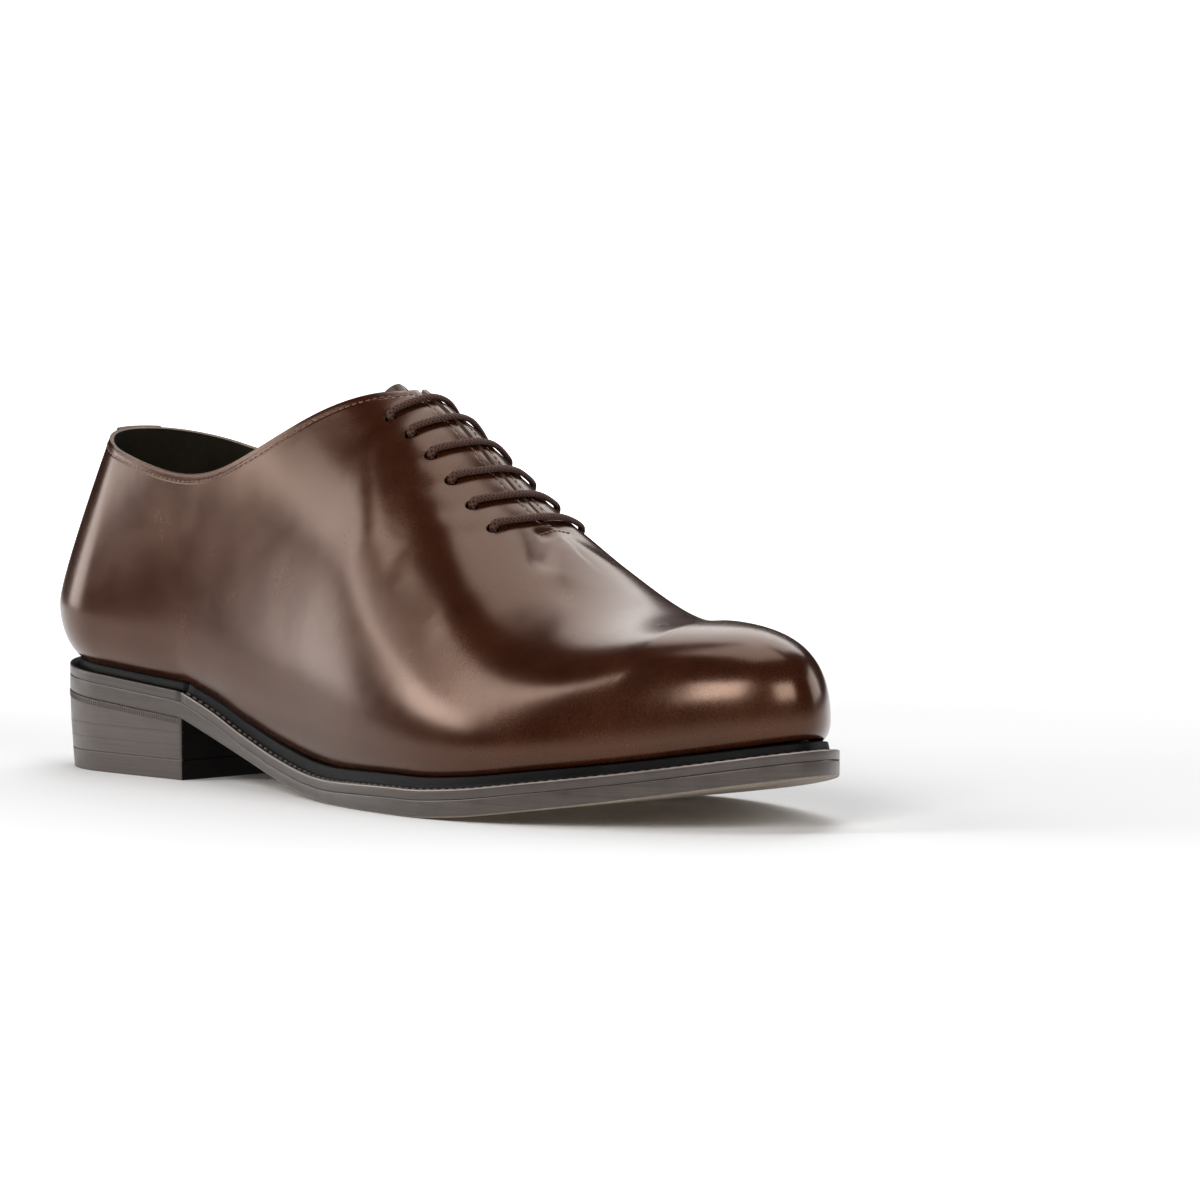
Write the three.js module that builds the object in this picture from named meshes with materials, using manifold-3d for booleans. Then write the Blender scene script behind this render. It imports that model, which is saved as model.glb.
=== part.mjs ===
import * as THREE from "three";
import { mergeVertices } from "three/addons/utils/BufferGeometryUtils.js";
import Module from "manifold-3d";

// A right whole cut oxford, in millimetres: +X to the toe, +Y to the inner (medial) side, +Z up.
// While it is built, x = 0 is the back of the sole, y = 0 the middle of the heel, z = 0 the floor.

const wasm = await Module();
wasm.setup();

// Sole: length, widths and heights
const SOLE_LENGTH = 299;
const BALL_WIDTH = 104;
const WAIST_WIDTH = 66;
const HEEL_WIDTH = 65;
const HEEL_LENGTH = 71;
const HEEL_HEIGHT = 18;
const HEEL_PITCH = 5.5;
const TOE_SPRING = 15;
const TOE_TIP_SHIFT = 0.5;
const OUTSOLE_THICKNESS = 5;
const OUTSOLE_BEVEL = 0.8;

// Welt, seat rand, insole and heel stack
const WELT_THICKNESS = 2.8;
const WELT_WIDTH = 8;
const RIB_HEIGHT = 4.6;
const RIB_FOOT = 2.7;
const RIB_TOP = 3.2;
const LIP_CHAMFER = 0.7;
const INSOLE_THICKNESS = 6.9;
const HEEL_LIFTS = 3;
const TOP_PIECE_THICKNESS = 6;
const HEEL_TAPER = 1.2;

// Upper: wall, heights, throat and eyelets
const WALL = 1.8;
const BACK_HEIGHT = 99.5;
const COLLAR_HEIGHT = 88.2;
const INSTEP_HEIGHT = 114;
const THROAT_GAP = 2.2;
const EYELET_ROWS = 6;
const EYELET_INSET_TOP = 13.4;
const EYELET_INSET_BOTTOM = 16.6;
const EYELET_BORE = 4;
const LACE_DIAMETER = 2.3;
const TONGUE_THICKNESS = 2.4;
const TONGUE_WIDTH = 48;
const TONGUE_RISE = 2.2;
const BACKSTRAP_WIDTH = 17;
const BACKSTRAP_HEIGHT = 15;
const BACKSTRAP_THICKNESS = 1;

// Clearance between curved neighbours, and between the flat layers of the heel
const GAP = 0.3;
const LAYER_GAP = 0.05;

// Places along the shoe, as shares of the sole's length
const HEEL_CENTRE = 0.108;
const THROAT_TOP = 0.4585;
const THROAT_CORNER = 0.385;
const THROAT_BASE = 0.63;
const TOE_CENTRE = 0.86;
const EYELET_TOP = 0.467;
const EYELET_BOTTOM = 0.618;

// Sole outline: half widths to the outer (lat) and inner (med) side, as shares of a named width
const OUTLINE = [
  { x: HEEL_CENTRE, size: HEEL_WIDTH, lat: 0.5, med: 0.5 },
  { x: 0.18, size: HEEL_WIDTH, lat: 0.5, med: 0.495 },
  { x: 0.235, size: HEEL_WIDTH, lat: 0.498, med: 0.475 },
  { x: 0.3, size: WAIST_WIDTH, lat: 0.512, med: 0.447 },
  { x: 0.38, size: WAIST_WIDTH, lat: 0.57, med: 0.442 },
  { x: 0.46, size: BALL_WIDTH, lat: 0.416, med: 0.31 },
  { x: 0.54, size: BALL_WIDTH, lat: 0.475, med: 0.372 },
  { x: 0.62, size: BALL_WIDTH, lat: 0.512, med: 0.438 },
  { x: 0.69, size: BALL_WIDTH, lat: 0.515, med: 0.48 },
  { x: 0.75, size: BALL_WIDTH, lat: 0.487, med: 0.472 },
  { x: 0.8, size: BALL_WIDTH, lat: 0.443, med: 0.437 },
  { x: TOE_CENTRE, size: BALL_WIDTH, lat: 0.366, med: 0.372 },
];

// Outsole: height of its underside over the floor as a share of a named rise, and its thickness as a
// share of the full thickness; it is pared thin at the waist
const BOTTOM = [
  { x: 0.235, size: HEEL_HEIGHT, z: 1, thick: 1 },
  { x: 0.28, size: HEEL_HEIGHT, z: 0.77, thick: 0.97 },
  { x: 0.34, size: HEEL_HEIGHT, z: 0.49, thick: 0.73 },
  { x: 0.4, size: HEEL_HEIGHT, z: 0.24, thick: 0.68 },
  { x: 0.46, size: HEEL_HEIGHT, z: 0.075, thick: 0.68 },
  { x: 0.52, size: HEEL_HEIGHT, z: 0, thick: 0.82 },
  { x: 0.64, size: TOE_SPRING, z: 0, thick: 1 },
  { x: 0.7, size: TOE_SPRING, z: 0.07, thick: 1 },
  { x: 0.78, size: TOE_SPRING, z: 0.27, thick: 1 },
  { x: 0.86, size: TOE_SPRING, z: 0.51, thick: 0.95 },
  { x: 0.93, size: TOE_SPRING, z: 0.75, thick: 0.92 },
  { x: 1, size: TOE_SPRING, z: 1, thick: 0.92 },
];

// Last sections: reach is how far the upper's foot stands in from the sole edge and out how far its
// side swells out again, as shares of the welt's width; rise is the swell's height over the welt, as a
// share of its height at the joint; side and crown are the fullness of the wall and of the crest
const SWELL_HEIGHT = 18;
const SECTIONS = [
  { x: 0, reach: 0.45, out: 0.85, rise: 0.84, side: 0.1, crown: 0 },
  { x: 0.05, reach: 0.43, out: 0.78, rise: 0.84, side: 0.13, crown: 0.06 },
  { x: HEEL_CENTRE, reach: 0.42, out: 0.7, rise: 0.79, side: 0.2, crown: 0.22 },
  { x: 0.2, reach: 0.42, out: 0.66, rise: 0.79, side: 0.28, crown: 0.42 },
  { x: 0.3, reach: 0.45, out: 0.72, rise: 0.88, side: 0.33, crown: 0.45 },
  { x: 0.4, reach: 0.5, out: 0.66, rise: 0.87, side: 0.42, crown: 0.45 },
  { x: 0.5, reach: 0.55, out: 0.5, rise: 0.73, side: 0.48, crown: 0.46 },
  { x: 0.6, reach: 0.56, out: 0.36, rise: 0.51, side: 0.48, crown: 0.5 },
  { x: 0.7, reach: 0.56, out: 0.3, rise: 0.39, side: 0.47, crown: 0.57 },
  { x: 0.79, reach: 0.56, out: 0.27, rise: 0.33, side: 0.52, crown: 0.65 },
  { x: TOE_CENTRE, reach: 0.56, out: 0.25, rise: 0.3, side: 0.58, crown: 0.72 },
  { x: 0.94, reach: 0.56, out: 0.25, rise: 0.3, side: 0.62, crown: 0.75 },
  { x: 1, reach: 0.56, out: 0.25, rise: 0.3, side: 0.64, crown: 0.77 },
];

// Crest of the last: height as a share of the instep, and sideways shift as a share of the ball width;
// behind the throat it runs on as the cone of the last, above the collar
const CREST = [
  { x: HEEL_CENTRE, z: 1.3, y: 0 },
  { x: 0.2, z: 1.3, y: 0 },
  { x: 0.28, z: 1.26, y: 0.002 },
  { x: 0.34, z: 1.175, y: 0.004 },
  { x: 0.4, z: 1.08, y: 0.006 },
  { x: THROAT_TOP, z: 1, y: 0.008 },
  { x: 0.495, z: 0.952, y: 0.01 },
  { x: 0.53, z: 0.889, y: 0.012 },
  { x: 0.58, z: 0.785, y: 0.017 },
  { x: THROAT_BASE, z: 0.695, y: 0.024 },
  { x: 0.69, z: 0.592, y: 0.032 },
  { x: 0.74, z: 0.523, y: 0.036 },
  { x: 0.79, z: 0.485, y: 0.034 },
  { x: 0.83, z: 0.478, y: 0.028 },
  { x: TOE_CENTRE, z: 0.483, y: 0.022 },
];

// Topline of the collar: height as a share of a named height
const TOPLINE = [
  { x: -0.02, size: BACK_HEIGHT, z: 1.004 },
  { x: 0.03, size: BACK_HEIGHT, z: 0.996 },
  { x: 0.1, size: BACK_HEIGHT, z: 0.948 },
  { x: 0.18, size: COLLAR_HEIGHT, z: 1.014 },
  { x: 0.235, size: COLLAR_HEIGHT, z: 1 },
  { x: 0.275, size: COLLAR_HEIGHT, z: 1.022 },
  { x: 0.315, size: COLLAR_HEIGHT, z: 1.08 },
  { x: 0.35, size: INSTEP_HEIGHT, z: 0.886 },
  { x: 0.39, size: INSTEP_HEIGHT, z: 0.945 },
  { x: 0.425, size: INSTEP_HEIGHT, z: 0.984 },
  { x: 0.445, size: INSTEP_HEIGHT, z: 0.996 },
  { x: THROAT_TOP, size: INSTEP_HEIGHT, z: 0.998 },
];

// A smooth curve through one column of a table, with matching bends from row to row
function spline(rows, value) {
  const n = rows.length;
  const xs = rows.map((r) => r.x);
  const ys = rows.map(value);
  const bend = new Array(n).fill(0);
  const work = new Array(n).fill(0);
  for (let i = 1; i < n - 1; i++) {
    const ratio = (xs[i] - xs[i - 1]) / (xs[i + 1] - xs[i - 1]);
    const pivot = ratio * bend[i - 1] + 2;
    const rise = (ys[i + 1] - ys[i]) / (xs[i + 1] - xs[i]) - (ys[i] - ys[i - 1]) / (xs[i] - xs[i - 1]);
    bend[i] = (ratio - 1) / pivot;
    work[i] = ((6 * rise) / (xs[i + 1] - xs[i - 1]) - ratio * work[i - 1]) / pivot;
  }
  for (let i = n - 2; i > 0; i--) bend[i] = bend[i] * bend[i + 1] + work[i];
  bend[0] = 0;
  bend[n - 1] = 0;
  return (share) => {
    const x = THREE.MathUtils.clamp(share, xs[0], xs[n - 1]);
    let i = 0;
    while (i < n - 2 && x > xs[i + 1]) i++;
    const h = xs[i + 1] - xs[i];
    const a = (xs[i + 1] - x) / h;
    const b = 1 - a;
    const curl = ((a ** 3 - a) * bend[i] + (b ** 3 - b) * bend[i + 1]) * (h * h) / 6;
    return a * ys[i] + b * ys[i + 1] + curl;
  };
}

// A curve through one column that never overshoots a row, so flat stretches stay flat
function steadyCurve(rows, value) {
  const n = rows.length;
  const xs = rows.map((r) => r.x);
  const ys = rows.map(value);
  const step = xs.slice(1).map((x, i) => (ys[i + 1] - ys[i]) / (x - xs[i]));
  const slope = ys.map((_, i) => {
    if (i === 0) return step[0];
    if (i === n - 1) return step[n - 2];
    return step[i - 1] * step[i] <= 0 ? 0 : (2 * step[i - 1] * step[i]) / (step[i - 1] + step[i]);
  });
  return (share) => {
    const x = THREE.MathUtils.clamp(share, xs[0], xs[n - 1]);
    let i = 0;
    while (i < n - 2 && x > xs[i + 1]) i++;
    const h = xs[i + 1] - xs[i];
    const t = (x - xs[i]) / h;
    const ease = t * t * (3 - 2 * t);
    return ys[i] * (1 - ease) + ys[i + 1] * ease
      + h * slope[i] * t * (1 - t) ** 2 - h * slope[i + 1] * t * t * (1 - t);
  };
}

const LATERAL = -1;
const MEDIAL = 1;
const halfWidth = {
  [LATERAL]: spline(OUTLINE, (r) => r.lat * r.size),
  [MEDIAL]: spline(OUTLINE, (r) => r.med * r.size),
};
const bottomCurve = steadyCurve(BOTTOM, (r) => r.z * r.size);
const thickness = steadyCurve(BOTTOM, (r) => r.thick * OUTSOLE_THICKNESS);
const crestHeight = spline(CREST, (r) => r.z * INSTEP_HEIGHT);
const crestShift = spline(CREST, (r) => r.y * BALL_WIDTH);
const toplineHeight = spline(TOPLINE, (r) => r.z * r.size);
const section = {};
for (const column of ["reach", "out"]) section[column] = spline(SECTIONS, (r) => r[column] * WELT_WIDTH);
section.rise = spline(SECTIONS, (r) => r.rise * SWELL_HEIGHT);
for (const column of ["side", "crown"]) section[column] = spline(SECTIONS, (r) => r[column]);

// Heights of the sole's layers at a distance x from the back
function outsoleUnder(x) {
  const share = x / SOLE_LENGTH;
  const breast = BOTTOM[0].x;
  if (share < breast) return HEEL_HEIGHT + HEEL_PITCH * (1 - share / breast);
  return bottomCurve(share);
}
const outsoleTop = (x) => outsoleUnder(x) + thickness(x / SOLE_LENGTH);
const shelfTop = (x) => outsoleTop(x) + WELT_THICKNESS;
const weltTop = (x) => shelfTop(x) + RIB_HEIGHT;

// A cubic arc between a and d with handles b and c
const cubic = (a, b, c, d, t) =>
  a * (1 - t) ** 3 + 3 * b * t * (1 - t) ** 2 + 3 * c * t * t * (1 - t) + d * t ** 3;

// Stations run from the back of the heel round one side to the toe tip: a fan round the heel,
// cross sections from there to the toe, and a fan round the toe
const HEEL_FAN = 7;
const TOE_FAN = 9;
const SPANS = [
  { to: HEEL_LENGTH / SOLE_LENGTH, steps: 3 },
  { to: THROAT_CORNER, steps: 5 },
  { to: THROAT_TOP, steps: 6 },
  { to: THROAT_BASE, steps: 9 },
  { to: TOE_CENTRE, steps: 9 },
];
const ROUND = 0.5523;
const TOE_SIDE_HANDLE = 0.56;
const TOE_TIP_HANDLE = 0.34;

function crestPoint(share) {
  return new THREE.Vector3(share * SOLE_LENGTH, crestShift(share), crestHeight(share));
}

// One cross-section station at a share of the length
const PROBE = 1e-3;
function crossStation(side, share) {
  const x = share * SOLE_LENGTH;
  const low = Math.max(share - PROBE, HEEL_CENTRE);
  const high = Math.min(share + PROBE, TOE_CENTRE);
  const slope = (halfWidth[side](high) - halfWidth[side](low)) / ((high - low) * SOLE_LENGTH);
  return {
    side,
    edge: new THREE.Vector2(x, side * halfWidth[side](share)),
    inward: new THREE.Vector2(slope, -side).normalize(),
    crest: crestPoint(share),
  };
}

// One station of a fan at t = 0 on the cross section and t = 1 on the centre line
function fanStation(side, share, end, sideHandle, endHandle, t) {
  const from = crossStation(side, share);
  const run = end.x - from.edge.x;
  const across = from.edge.y - end.y;
  const slope = from.inward.x / from.inward.y;
  const px = [from.edge.x, from.edge.x + run * sideHandle, end.x, end.x];
  const py = [from.edge.y, from.edge.y - slope * run * sideHandle, end.y + across * endHandle, end.y];
  const dt = 1e-4;
  const t0 = Math.max(t - dt, 0);
  const t1 = Math.min(t + dt, 1);
  const along = new THREE.Vector2(
    cubic(...px, t1) - cubic(...px, t0),
    cubic(...py, t1) - cubic(...py, t0),
  ).normalize();
  const turn = -side * Math.sign(run);
  const inward = t === 1 ? new THREE.Vector2(-Math.sign(run), 0)
    : new THREE.Vector2(-along.y * turn, along.x * turn);
  return {
    side,
    edge: new THREE.Vector2(cubic(...px, t), cubic(...py, t)),
    inward,
    crest: crestPoint(share),
  };
}

function stationsOf(side) {
  const list = [];
  const back = new THREE.Vector2(0, 0);
  const tip = new THREE.Vector2(SOLE_LENGTH, TOE_TIP_SHIFT);
  for (let i = 0; i < HEEL_FAN; i++)
    list.push(fanStation(side, HEEL_CENTRE, back, ROUND, ROUND, 1 - i / HEEL_FAN));
  let from = HEEL_CENTRE;
  for (const { to, steps } of SPANS) {
    for (let i = 0; i < steps; i++) list.push(crossStation(side, from + ((to - from) * i) / steps));
    from = to;
  }
  for (let i = 0; i <= TOE_FAN; i++)
    list.push(fanStation(side, TOE_CENTRE, tip, TOE_SIDE_HANDLE, TOE_TIP_HANDLE, i / TOE_FAN));
  return list;
}
const STATIONS = { [LATERAL]: stationsOf(LATERAL), [MEDIAL]: stationsOf(MEDIAL) };
const LAST_STATION = STATIONS[LATERAL].length - 1;
const BREAST_STATION = HEEL_FAN + SPANS[0].steps;
const TOP_STATION = BREAST_STATION + SPANS[1].steps + SPANS[2].steps;
const BASE_STATION = TOP_STATION + SPANS[3].steps;

const planPoint = (station, inset) => station.edge.clone().addScaledVector(station.inward, inset);

// Point on the outside of the upper: level 0 is its foot on the welt, SWELL the fullest place of
// the side, 1 the crest; below the swell the side turns out and rises by the handles given
const SWELL = 0.26;
const FOOT_OUT = [0.55, 1];
const FOOT_RISE = [0.14, 0.55];
function skinPoint(station, level) {
  const share = station.edge.x / SOLE_LENGTH;
  const reach = section.reach(share);
  const out = section.out(share);
  const foot = weltTop(station.edge.x) + GAP;
  const swell = foot + section.rise(share);
  if (level <= SWELL) {
    const t = level / SWELL;
    const plan = planPoint(station, reach - out * cubic(0, ...FOOT_OUT, 1, t));
    return new THREE.Vector3(plan.x, plan.y, foot + (swell - foot) * cubic(0, ...FOOT_RISE, 1, t));
  }
  const t = (level - SWELL) / (1 - SWELL);
  const keep = cubic(1, 1, section.crown(share), 0, t);
  const lift = cubic(0, section.side(share), 1, 1, t);
  const plan = planPoint(station, reach - out);
  return new THREE.Vector3(
    station.crest.x + (plan.x - station.crest.x) * keep,
    station.crest.y + (plan.y - station.crest.y) * keep,
    swell + (station.crest.z - swell) * lift,
  );
}

// The level at which a test changes from negative to positive, by halving
function levelWhere(test, low = SWELL, high = 1) {
  for (let i = 0; i < 40; i++) {
    const middle = (low + high) / 2;
    if (test(middle) < 0) low = middle;
    else high = middle;
  }
  return (low + high) / 2;
}

// Half the throat's gap, closing towards its base to a share of the full gap
const THROAT_CLOSING = 0.45;
function halfGap(share) {
  const open = (THROAT_BASE - share) / (THROAT_BASE - THROAT_TOP);
  return (THROAT_GAP / 2) * (THROAT_CLOSING + (1 - THROAT_CLOSING) * open);
}

const crestDistance = (station, level) => {
  const p = skinPoint(station, level);
  return Math.hypot(p.x - station.crest.x, p.y - station.crest.y);
};

// The level of the upper's top edge: collar, then throat, then closed over the vamp
function topLevel(station, index) {
  if (index >= BASE_STATION) return 1;
  if (index >= TOP_STATION) {
    const gap = halfGap(station.edge.x / SOLE_LENGTH);
    return levelWhere((level) => gap - crestDistance(station, level));
  }
  return levelWhere((level) => {
    const p = skinPoint(station, level);
    return p.z - toplineHeight(p.x / SOLE_LENGTH);
  });
}

// Closed solid from an open surface: out and in are how far its two faces stand from the surface
function thicken(points, faces, out, inn) {
  const normals = points.map(() => new THREE.Vector3());
  const directed = new Map();
  for (const [a, b, c] of faces) {
    const n = points[b].clone().sub(points[a]).cross(points[c].clone().sub(points[a]));
    for (const i of [a, b, c]) normals[i].add(n);
    for (const [i, j] of [[a, b], [b, c], [c, a]]) directed.set(i + "," + j, [i, j]);
  }
  const count = points.length;
  const all = [];
  points.forEach((p, i) => all.push(p.clone().addScaledVector(normals[i].normalize(), out)));
  points.forEach((p, i) => all.push(p.clone().addScaledVector(normals[i], -inn)));
  const triangles = [];
  for (const [a, b, c] of faces) triangles.push([a, b, c], [a + count, c + count, b + count]);
  for (const [i, j] of directed.values()) {
    if (directed.has(j + "," + i)) continue;
    triangles.push([j, i, i + count], [j, i + count, j + count]);
  }
  return geometryOf(all, triangles);
}

function geometryOf(points, triangles) {
  const positions = [];
  for (const triangle of triangles) for (const i of triangle) positions.push(...points[i].toArray());
  const geometry = new THREE.BufferGeometry();
  geometry.setAttribute("position", new THREE.Float32BufferAttribute(positions, 3));
  return mergeVertices(geometry, 1e-3);
}

// Collects points by place, so that rows that meet share them
function pointPool() {
  const points = [];
  const known = new Map();
  const add = (p) => {
    const key = p.toArray().map((v) => Math.round(v * 1e4)).join(" ");
    if (!known.has(key)) {
      known.set(key, points.length);
      points.push(p);
    }
    return known.get(key);
  };
  return { points, add };
}

// Faces of a grid of point numbers, facing out when flip is false for rows to the right, columns up
function gridFaces(grid, flip) {
  const faces = [];
  for (let i = 0; i + 1 < grid.length; i++)
    for (let j = 0; j + 1 < grid[i].length; j++) {
      const [a, b, c, d] = [grid[i][j], grid[i + 1][j], grid[i + 1][j + 1], grid[i][j + 1]];
      for (const face of [[a, b, c], [a, c, d]]) {
        if (new Set(face).size < 3) continue;
        faces.push(flip ? face.slice().reverse() : face);
      }
    }
  return faces;
}

// Manifold solids: to and from geometry, join and cut
function solidOf(geometry) {
  const bare = geometry.clone();
  bare.deleteAttribute("normal");
  bare.deleteAttribute("uv");
  const merged = mergeVertices(bare, 1e-3);
  return new wasm.Manifold(
    new wasm.Mesh({
      numProp: 3,
      vertProperties: new Float32Array(merged.attributes.position.array),
      triVerts: new Uint32Array(merged.index.array),
    }),
  );
}
function geometryFrom(solid) {
  const mesh = solid.getMesh();
  const geometry = new THREE.BufferGeometry();
  geometry.setAttribute("position", new THREE.BufferAttribute(new Float32Array(mesh.vertProperties), 3));
  geometry.setIndex(new THREE.BufferAttribute(new Uint32Array(mesh.triVerts), 1));
  return geometry;
}

// Plate of the sole: rings from the bottom up, each an inset and a height along the shoe,
// from the first station to a last one, closed below and above
function plate(rings, lastStation = LAST_STATION) {
  const { points, add } = pointPool();
  const faces = [];
  const rows = { [LATERAL]: [], [MEDIAL]: [] };
  for (const side of [LATERAL, MEDIAL]) {
    for (let k = 0; k <= lastStation; k++) {
      const station = STATIONS[side][k];
      const end = k === lastStation && lastStation < LAST_STATION;
      rows[side].push(rings.map((ring) => {
        const plan = planPoint(station, ring.inset);
        const x = end ? station.edge.x : plan.x;
        return add(new THREE.Vector3(x, plan.y, ring.height(x)));
      }));
    }
    faces.push(...gridFaces(rows[side], side === MEDIAL));
  }
  const lid = (j) => rows[LATERAL].map((row, k) => [row[j], rows[MEDIAL][k][j]]);
  faces.push(...gridFaces(lid(rings.length - 1), false));
  faces.push(...gridFaces(lid(0), true));
  if (lastStation < LAST_STATION) {
    const breast = [rows[LATERAL][lastStation], rows[MEDIAL][lastStation]];
    faces.push(...gridFaces(breast, false));
  }
  return geometryOf(points, faces);
}

// Strip of welt round part of the edge: section rings inset from the edge, swept along the stations
function strip(profile, stations) {
  const { points, add } = pointPool();
  const rows = stations.map((station) =>
    profile.map((corner) => {
      const plan = planPoint(station, corner.inset);
      return add(new THREE.Vector3(plan.x, plan.y, corner.height(plan.x)));
    }),
  );
  for (const row of rows) row.push(row[0]);
  const faces = gridFaces(rows, false);
  const cap = (row, flip) => {
    for (let j = 1; j + 2 < row.length; j++) {
      const face = [row[0], row[j], row[j + 1]];
      faces.push(flip ? face.reverse() : face);
    }
  };
  cap(rows[0], false);
  cap(rows[rows.length - 1], true);
  return geometryOf(points, faces);
}

const group = new THREE.Group();
function place(name, geometry, material) {
  geometry.computeVertexNormals();
  const mesh = new THREE.Mesh(geometry, material);
  mesh.name = name;
  group.add(mesh);
  return mesh;
}
const finish = (color, roughness) => new THREE.MeshStandardMaterial({ color, roughness, metalness: 0 });
const calfLeather = finish(0x5a3a2e, 0.35);
const soleEdge = finish(0x6b625b, 0.5);
const weltBlack = finish(0x14100f, 0.3);
const heelLeather = finish(0x6f6660, 0.5);
const heelRubber = finish(0x4a4440, 0.7);
const insoleLeather = finish(0x3a2c22, 0.6);
const laceCotton = finish(0x5d4a40, 0.8);

// Outsole: one shaped plate from heel seat to toe, with a bevelled lower and upper edge
function outsole() {
  const bevel = OUTSOLE_BEVEL;
  return plate([
    { inset: bevel, height: outsoleUnder },
    { inset: 0, height: (x) => outsoleUnder(x) + bevel },
    { inset: 0, height: outsoleTop },
  ]);
}

// Welt and seat rand: a chamfered lip, a shelf for the stitches and a raised rib that the upper stands on
function edgeProfile() {
  const base = (x) => outsoleTop(x) + GAP;
  return [
    { inset: WELT_WIDTH, height: base },
    { inset: 0, height: base },
    { inset: 0, height: (x) => shelfTop(x) - LIP_CHAMFER },
    { inset: LIP_CHAMFER, height: shelfTop },
    { inset: RIB_FOOT, height: shelfTop },
    { inset: RIB_TOP, height: weltTop },
    { inset: WELT_WIDTH, height: weltTop },
  ];
}
function welt() {
  const lateral = STATIONS[LATERAL].slice(BREAST_STATION);
  const medial = STATIONS[MEDIAL].slice(BREAST_STATION, -1).reverse();
  return strip(edgeProfile(), [...lateral, ...medial]);
}
function seatRand() {
  const nudge = (station) => ({ ...station, edge: station.edge.clone().add(new THREE.Vector2(-GAP, 0)) });
  const medial = STATIONS[MEDIAL].slice(1, BREAST_STATION + 1).reverse();
  const lateral = STATIONS[LATERAL].slice(0, BREAST_STATION + 1);
  medial[0] = nudge(medial[0]);
  lateral[lateral.length - 1] = nudge(lateral[lateral.length - 1]);
  return strip(edgeProfile(), [...medial, ...lateral]);
}

// Insole: fills the well inside the welt and carries the foot
function insole() {
  const inset = WELT_WIDTH + GAP;
  const base = (x) => outsoleTop(x) + GAP;
  return plate([
    { inset, height: base },
    { inset, height: (x) => base(x) + INSOLE_THICKNESS },
  ]);
}

// Heel: stacked leather lifts over a rubber top piece; the uppermost lift is a wedge under the seat
function heelLayer(bottom, top) {
  const insetAt = (height) => HEEL_TAPER * (1 - height / HEEL_HEIGHT);
  return plate([
    { inset: insetAt(bottom(HEEL_LENGTH)), height: bottom },
    { inset: insetAt(top(HEEL_LENGTH)), height: top },
  ], BREAST_STATION);
}
const liftStep = (HEEL_HEIGHT - TOP_PIECE_THICKNESS) / HEEL_LIFTS;
const liftFloor = (i) => TOP_PIECE_THICKNESS + liftStep * i;

place("outsole", outsole(), soleEdge);
place("welt", welt(), weltBlack);
place("heel_seat_rand", seatRand(), weltBlack);
place("insole", insole(), insoleLeather);
place("heel_top_piece", heelLayer(() => 0, () => TOP_PIECE_THICKNESS - LAYER_GAP), heelRubber);
for (let i = 0; i < HEEL_LIFTS; i++) {
  const under = () => liftFloor(i);
  const wedge = i === HEEL_LIFTS - 1;
  const over = wedge ? (x) => outsoleUnder(x) - LAYER_GAP : () => liftFloor(i + 1) - LAYER_GAP;
  place("heel_lift_" + (i + 1), heelLayer(under, over), heelLeather);
}

// Upper: one hollow piece of calf, open at the collar, the throat and underneath
const LEVELS = 12;
function upperSurface() {
  const { points, add } = pointPool();
  const faces = [];
  for (const side of [LATERAL, MEDIAL]) {
    const grid = STATIONS[side].map((station, k) => {
      const top = topLevel(station, k);
      const row = [];
      for (let j = 0; j <= LEVELS; j++) {
        const p = skinPoint(station, (top * j) / LEVELS);
        row.push(add(p));
      }
      return row;
    });
    faces.push(...gridFaces(grid, side === MEDIAL));
  }
  return { points, faces };
}

// Frame of the upper's outside at a place given by a share of the length and a distance from the crest
const NEAR_CREST = 0.02;
function placeOnThroat(side, share, distance) {
  const at = (s, d) => {
    const station = crossStation(side, s);
    return skinPoint(station, levelWhere((level) => d - crestDistance(station, level)));
  };
  const step = 0.5;
  const point = at(share, distance);
  const along = at(share + step / SOLE_LENGTH, distance).sub(at(share - step / SOLE_LENGTH, distance));
  const across = at(share, distance + step).sub(at(share, Math.max(distance - step, NEAR_CREST / 2)));
  const normal = across.cross(along).normalize();
  if (normal.z < 0) normal.negate();
  return { point, normal };
}

// Eyelets: row 0 is the lowest
const LAST_ROW = EYELET_ROWS - 1;
const eyeletShare = (row) => THREE.MathUtils.lerp(EYELET_BOTTOM, EYELET_TOP, row / LAST_ROW);
const eyeletInset = (row) => THREE.MathUtils.lerp(EYELET_INSET_BOTTOM, EYELET_INSET_TOP, row / LAST_ROW);

const BORE_SIDES = 10;
const BORE_LENGTH = 5 * WALL;
function eyeletCutter(side, row) {
  const { point, normal } = placeOnThroat(side, eyeletShare(row), eyeletInset(row));
  const bore = new THREE.CylinderGeometry(EYELET_BORE / 2, EYELET_BORE / 2, BORE_LENGTH, BORE_SIDES);
  bore.applyQuaternion(new THREE.Quaternion().setFromUnitVectors(new THREE.Vector3(0, 1, 0), normal));
  bore.translate(...point.toArray());
  return solidOf(bore);
}

function upper() {
  const { points, faces } = upperSurface();
  let leather = solidOf(thicken(points, faces, 0, WALL));
  for (const side of [LATERAL, MEDIAL])
    for (let row = 0; row < EYELET_ROWS; row++) leather = leather.subtract(eyeletCutter(side, row));
  return geometryFrom(leather);
}
place("upper", upper(), calfLeather);

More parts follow.
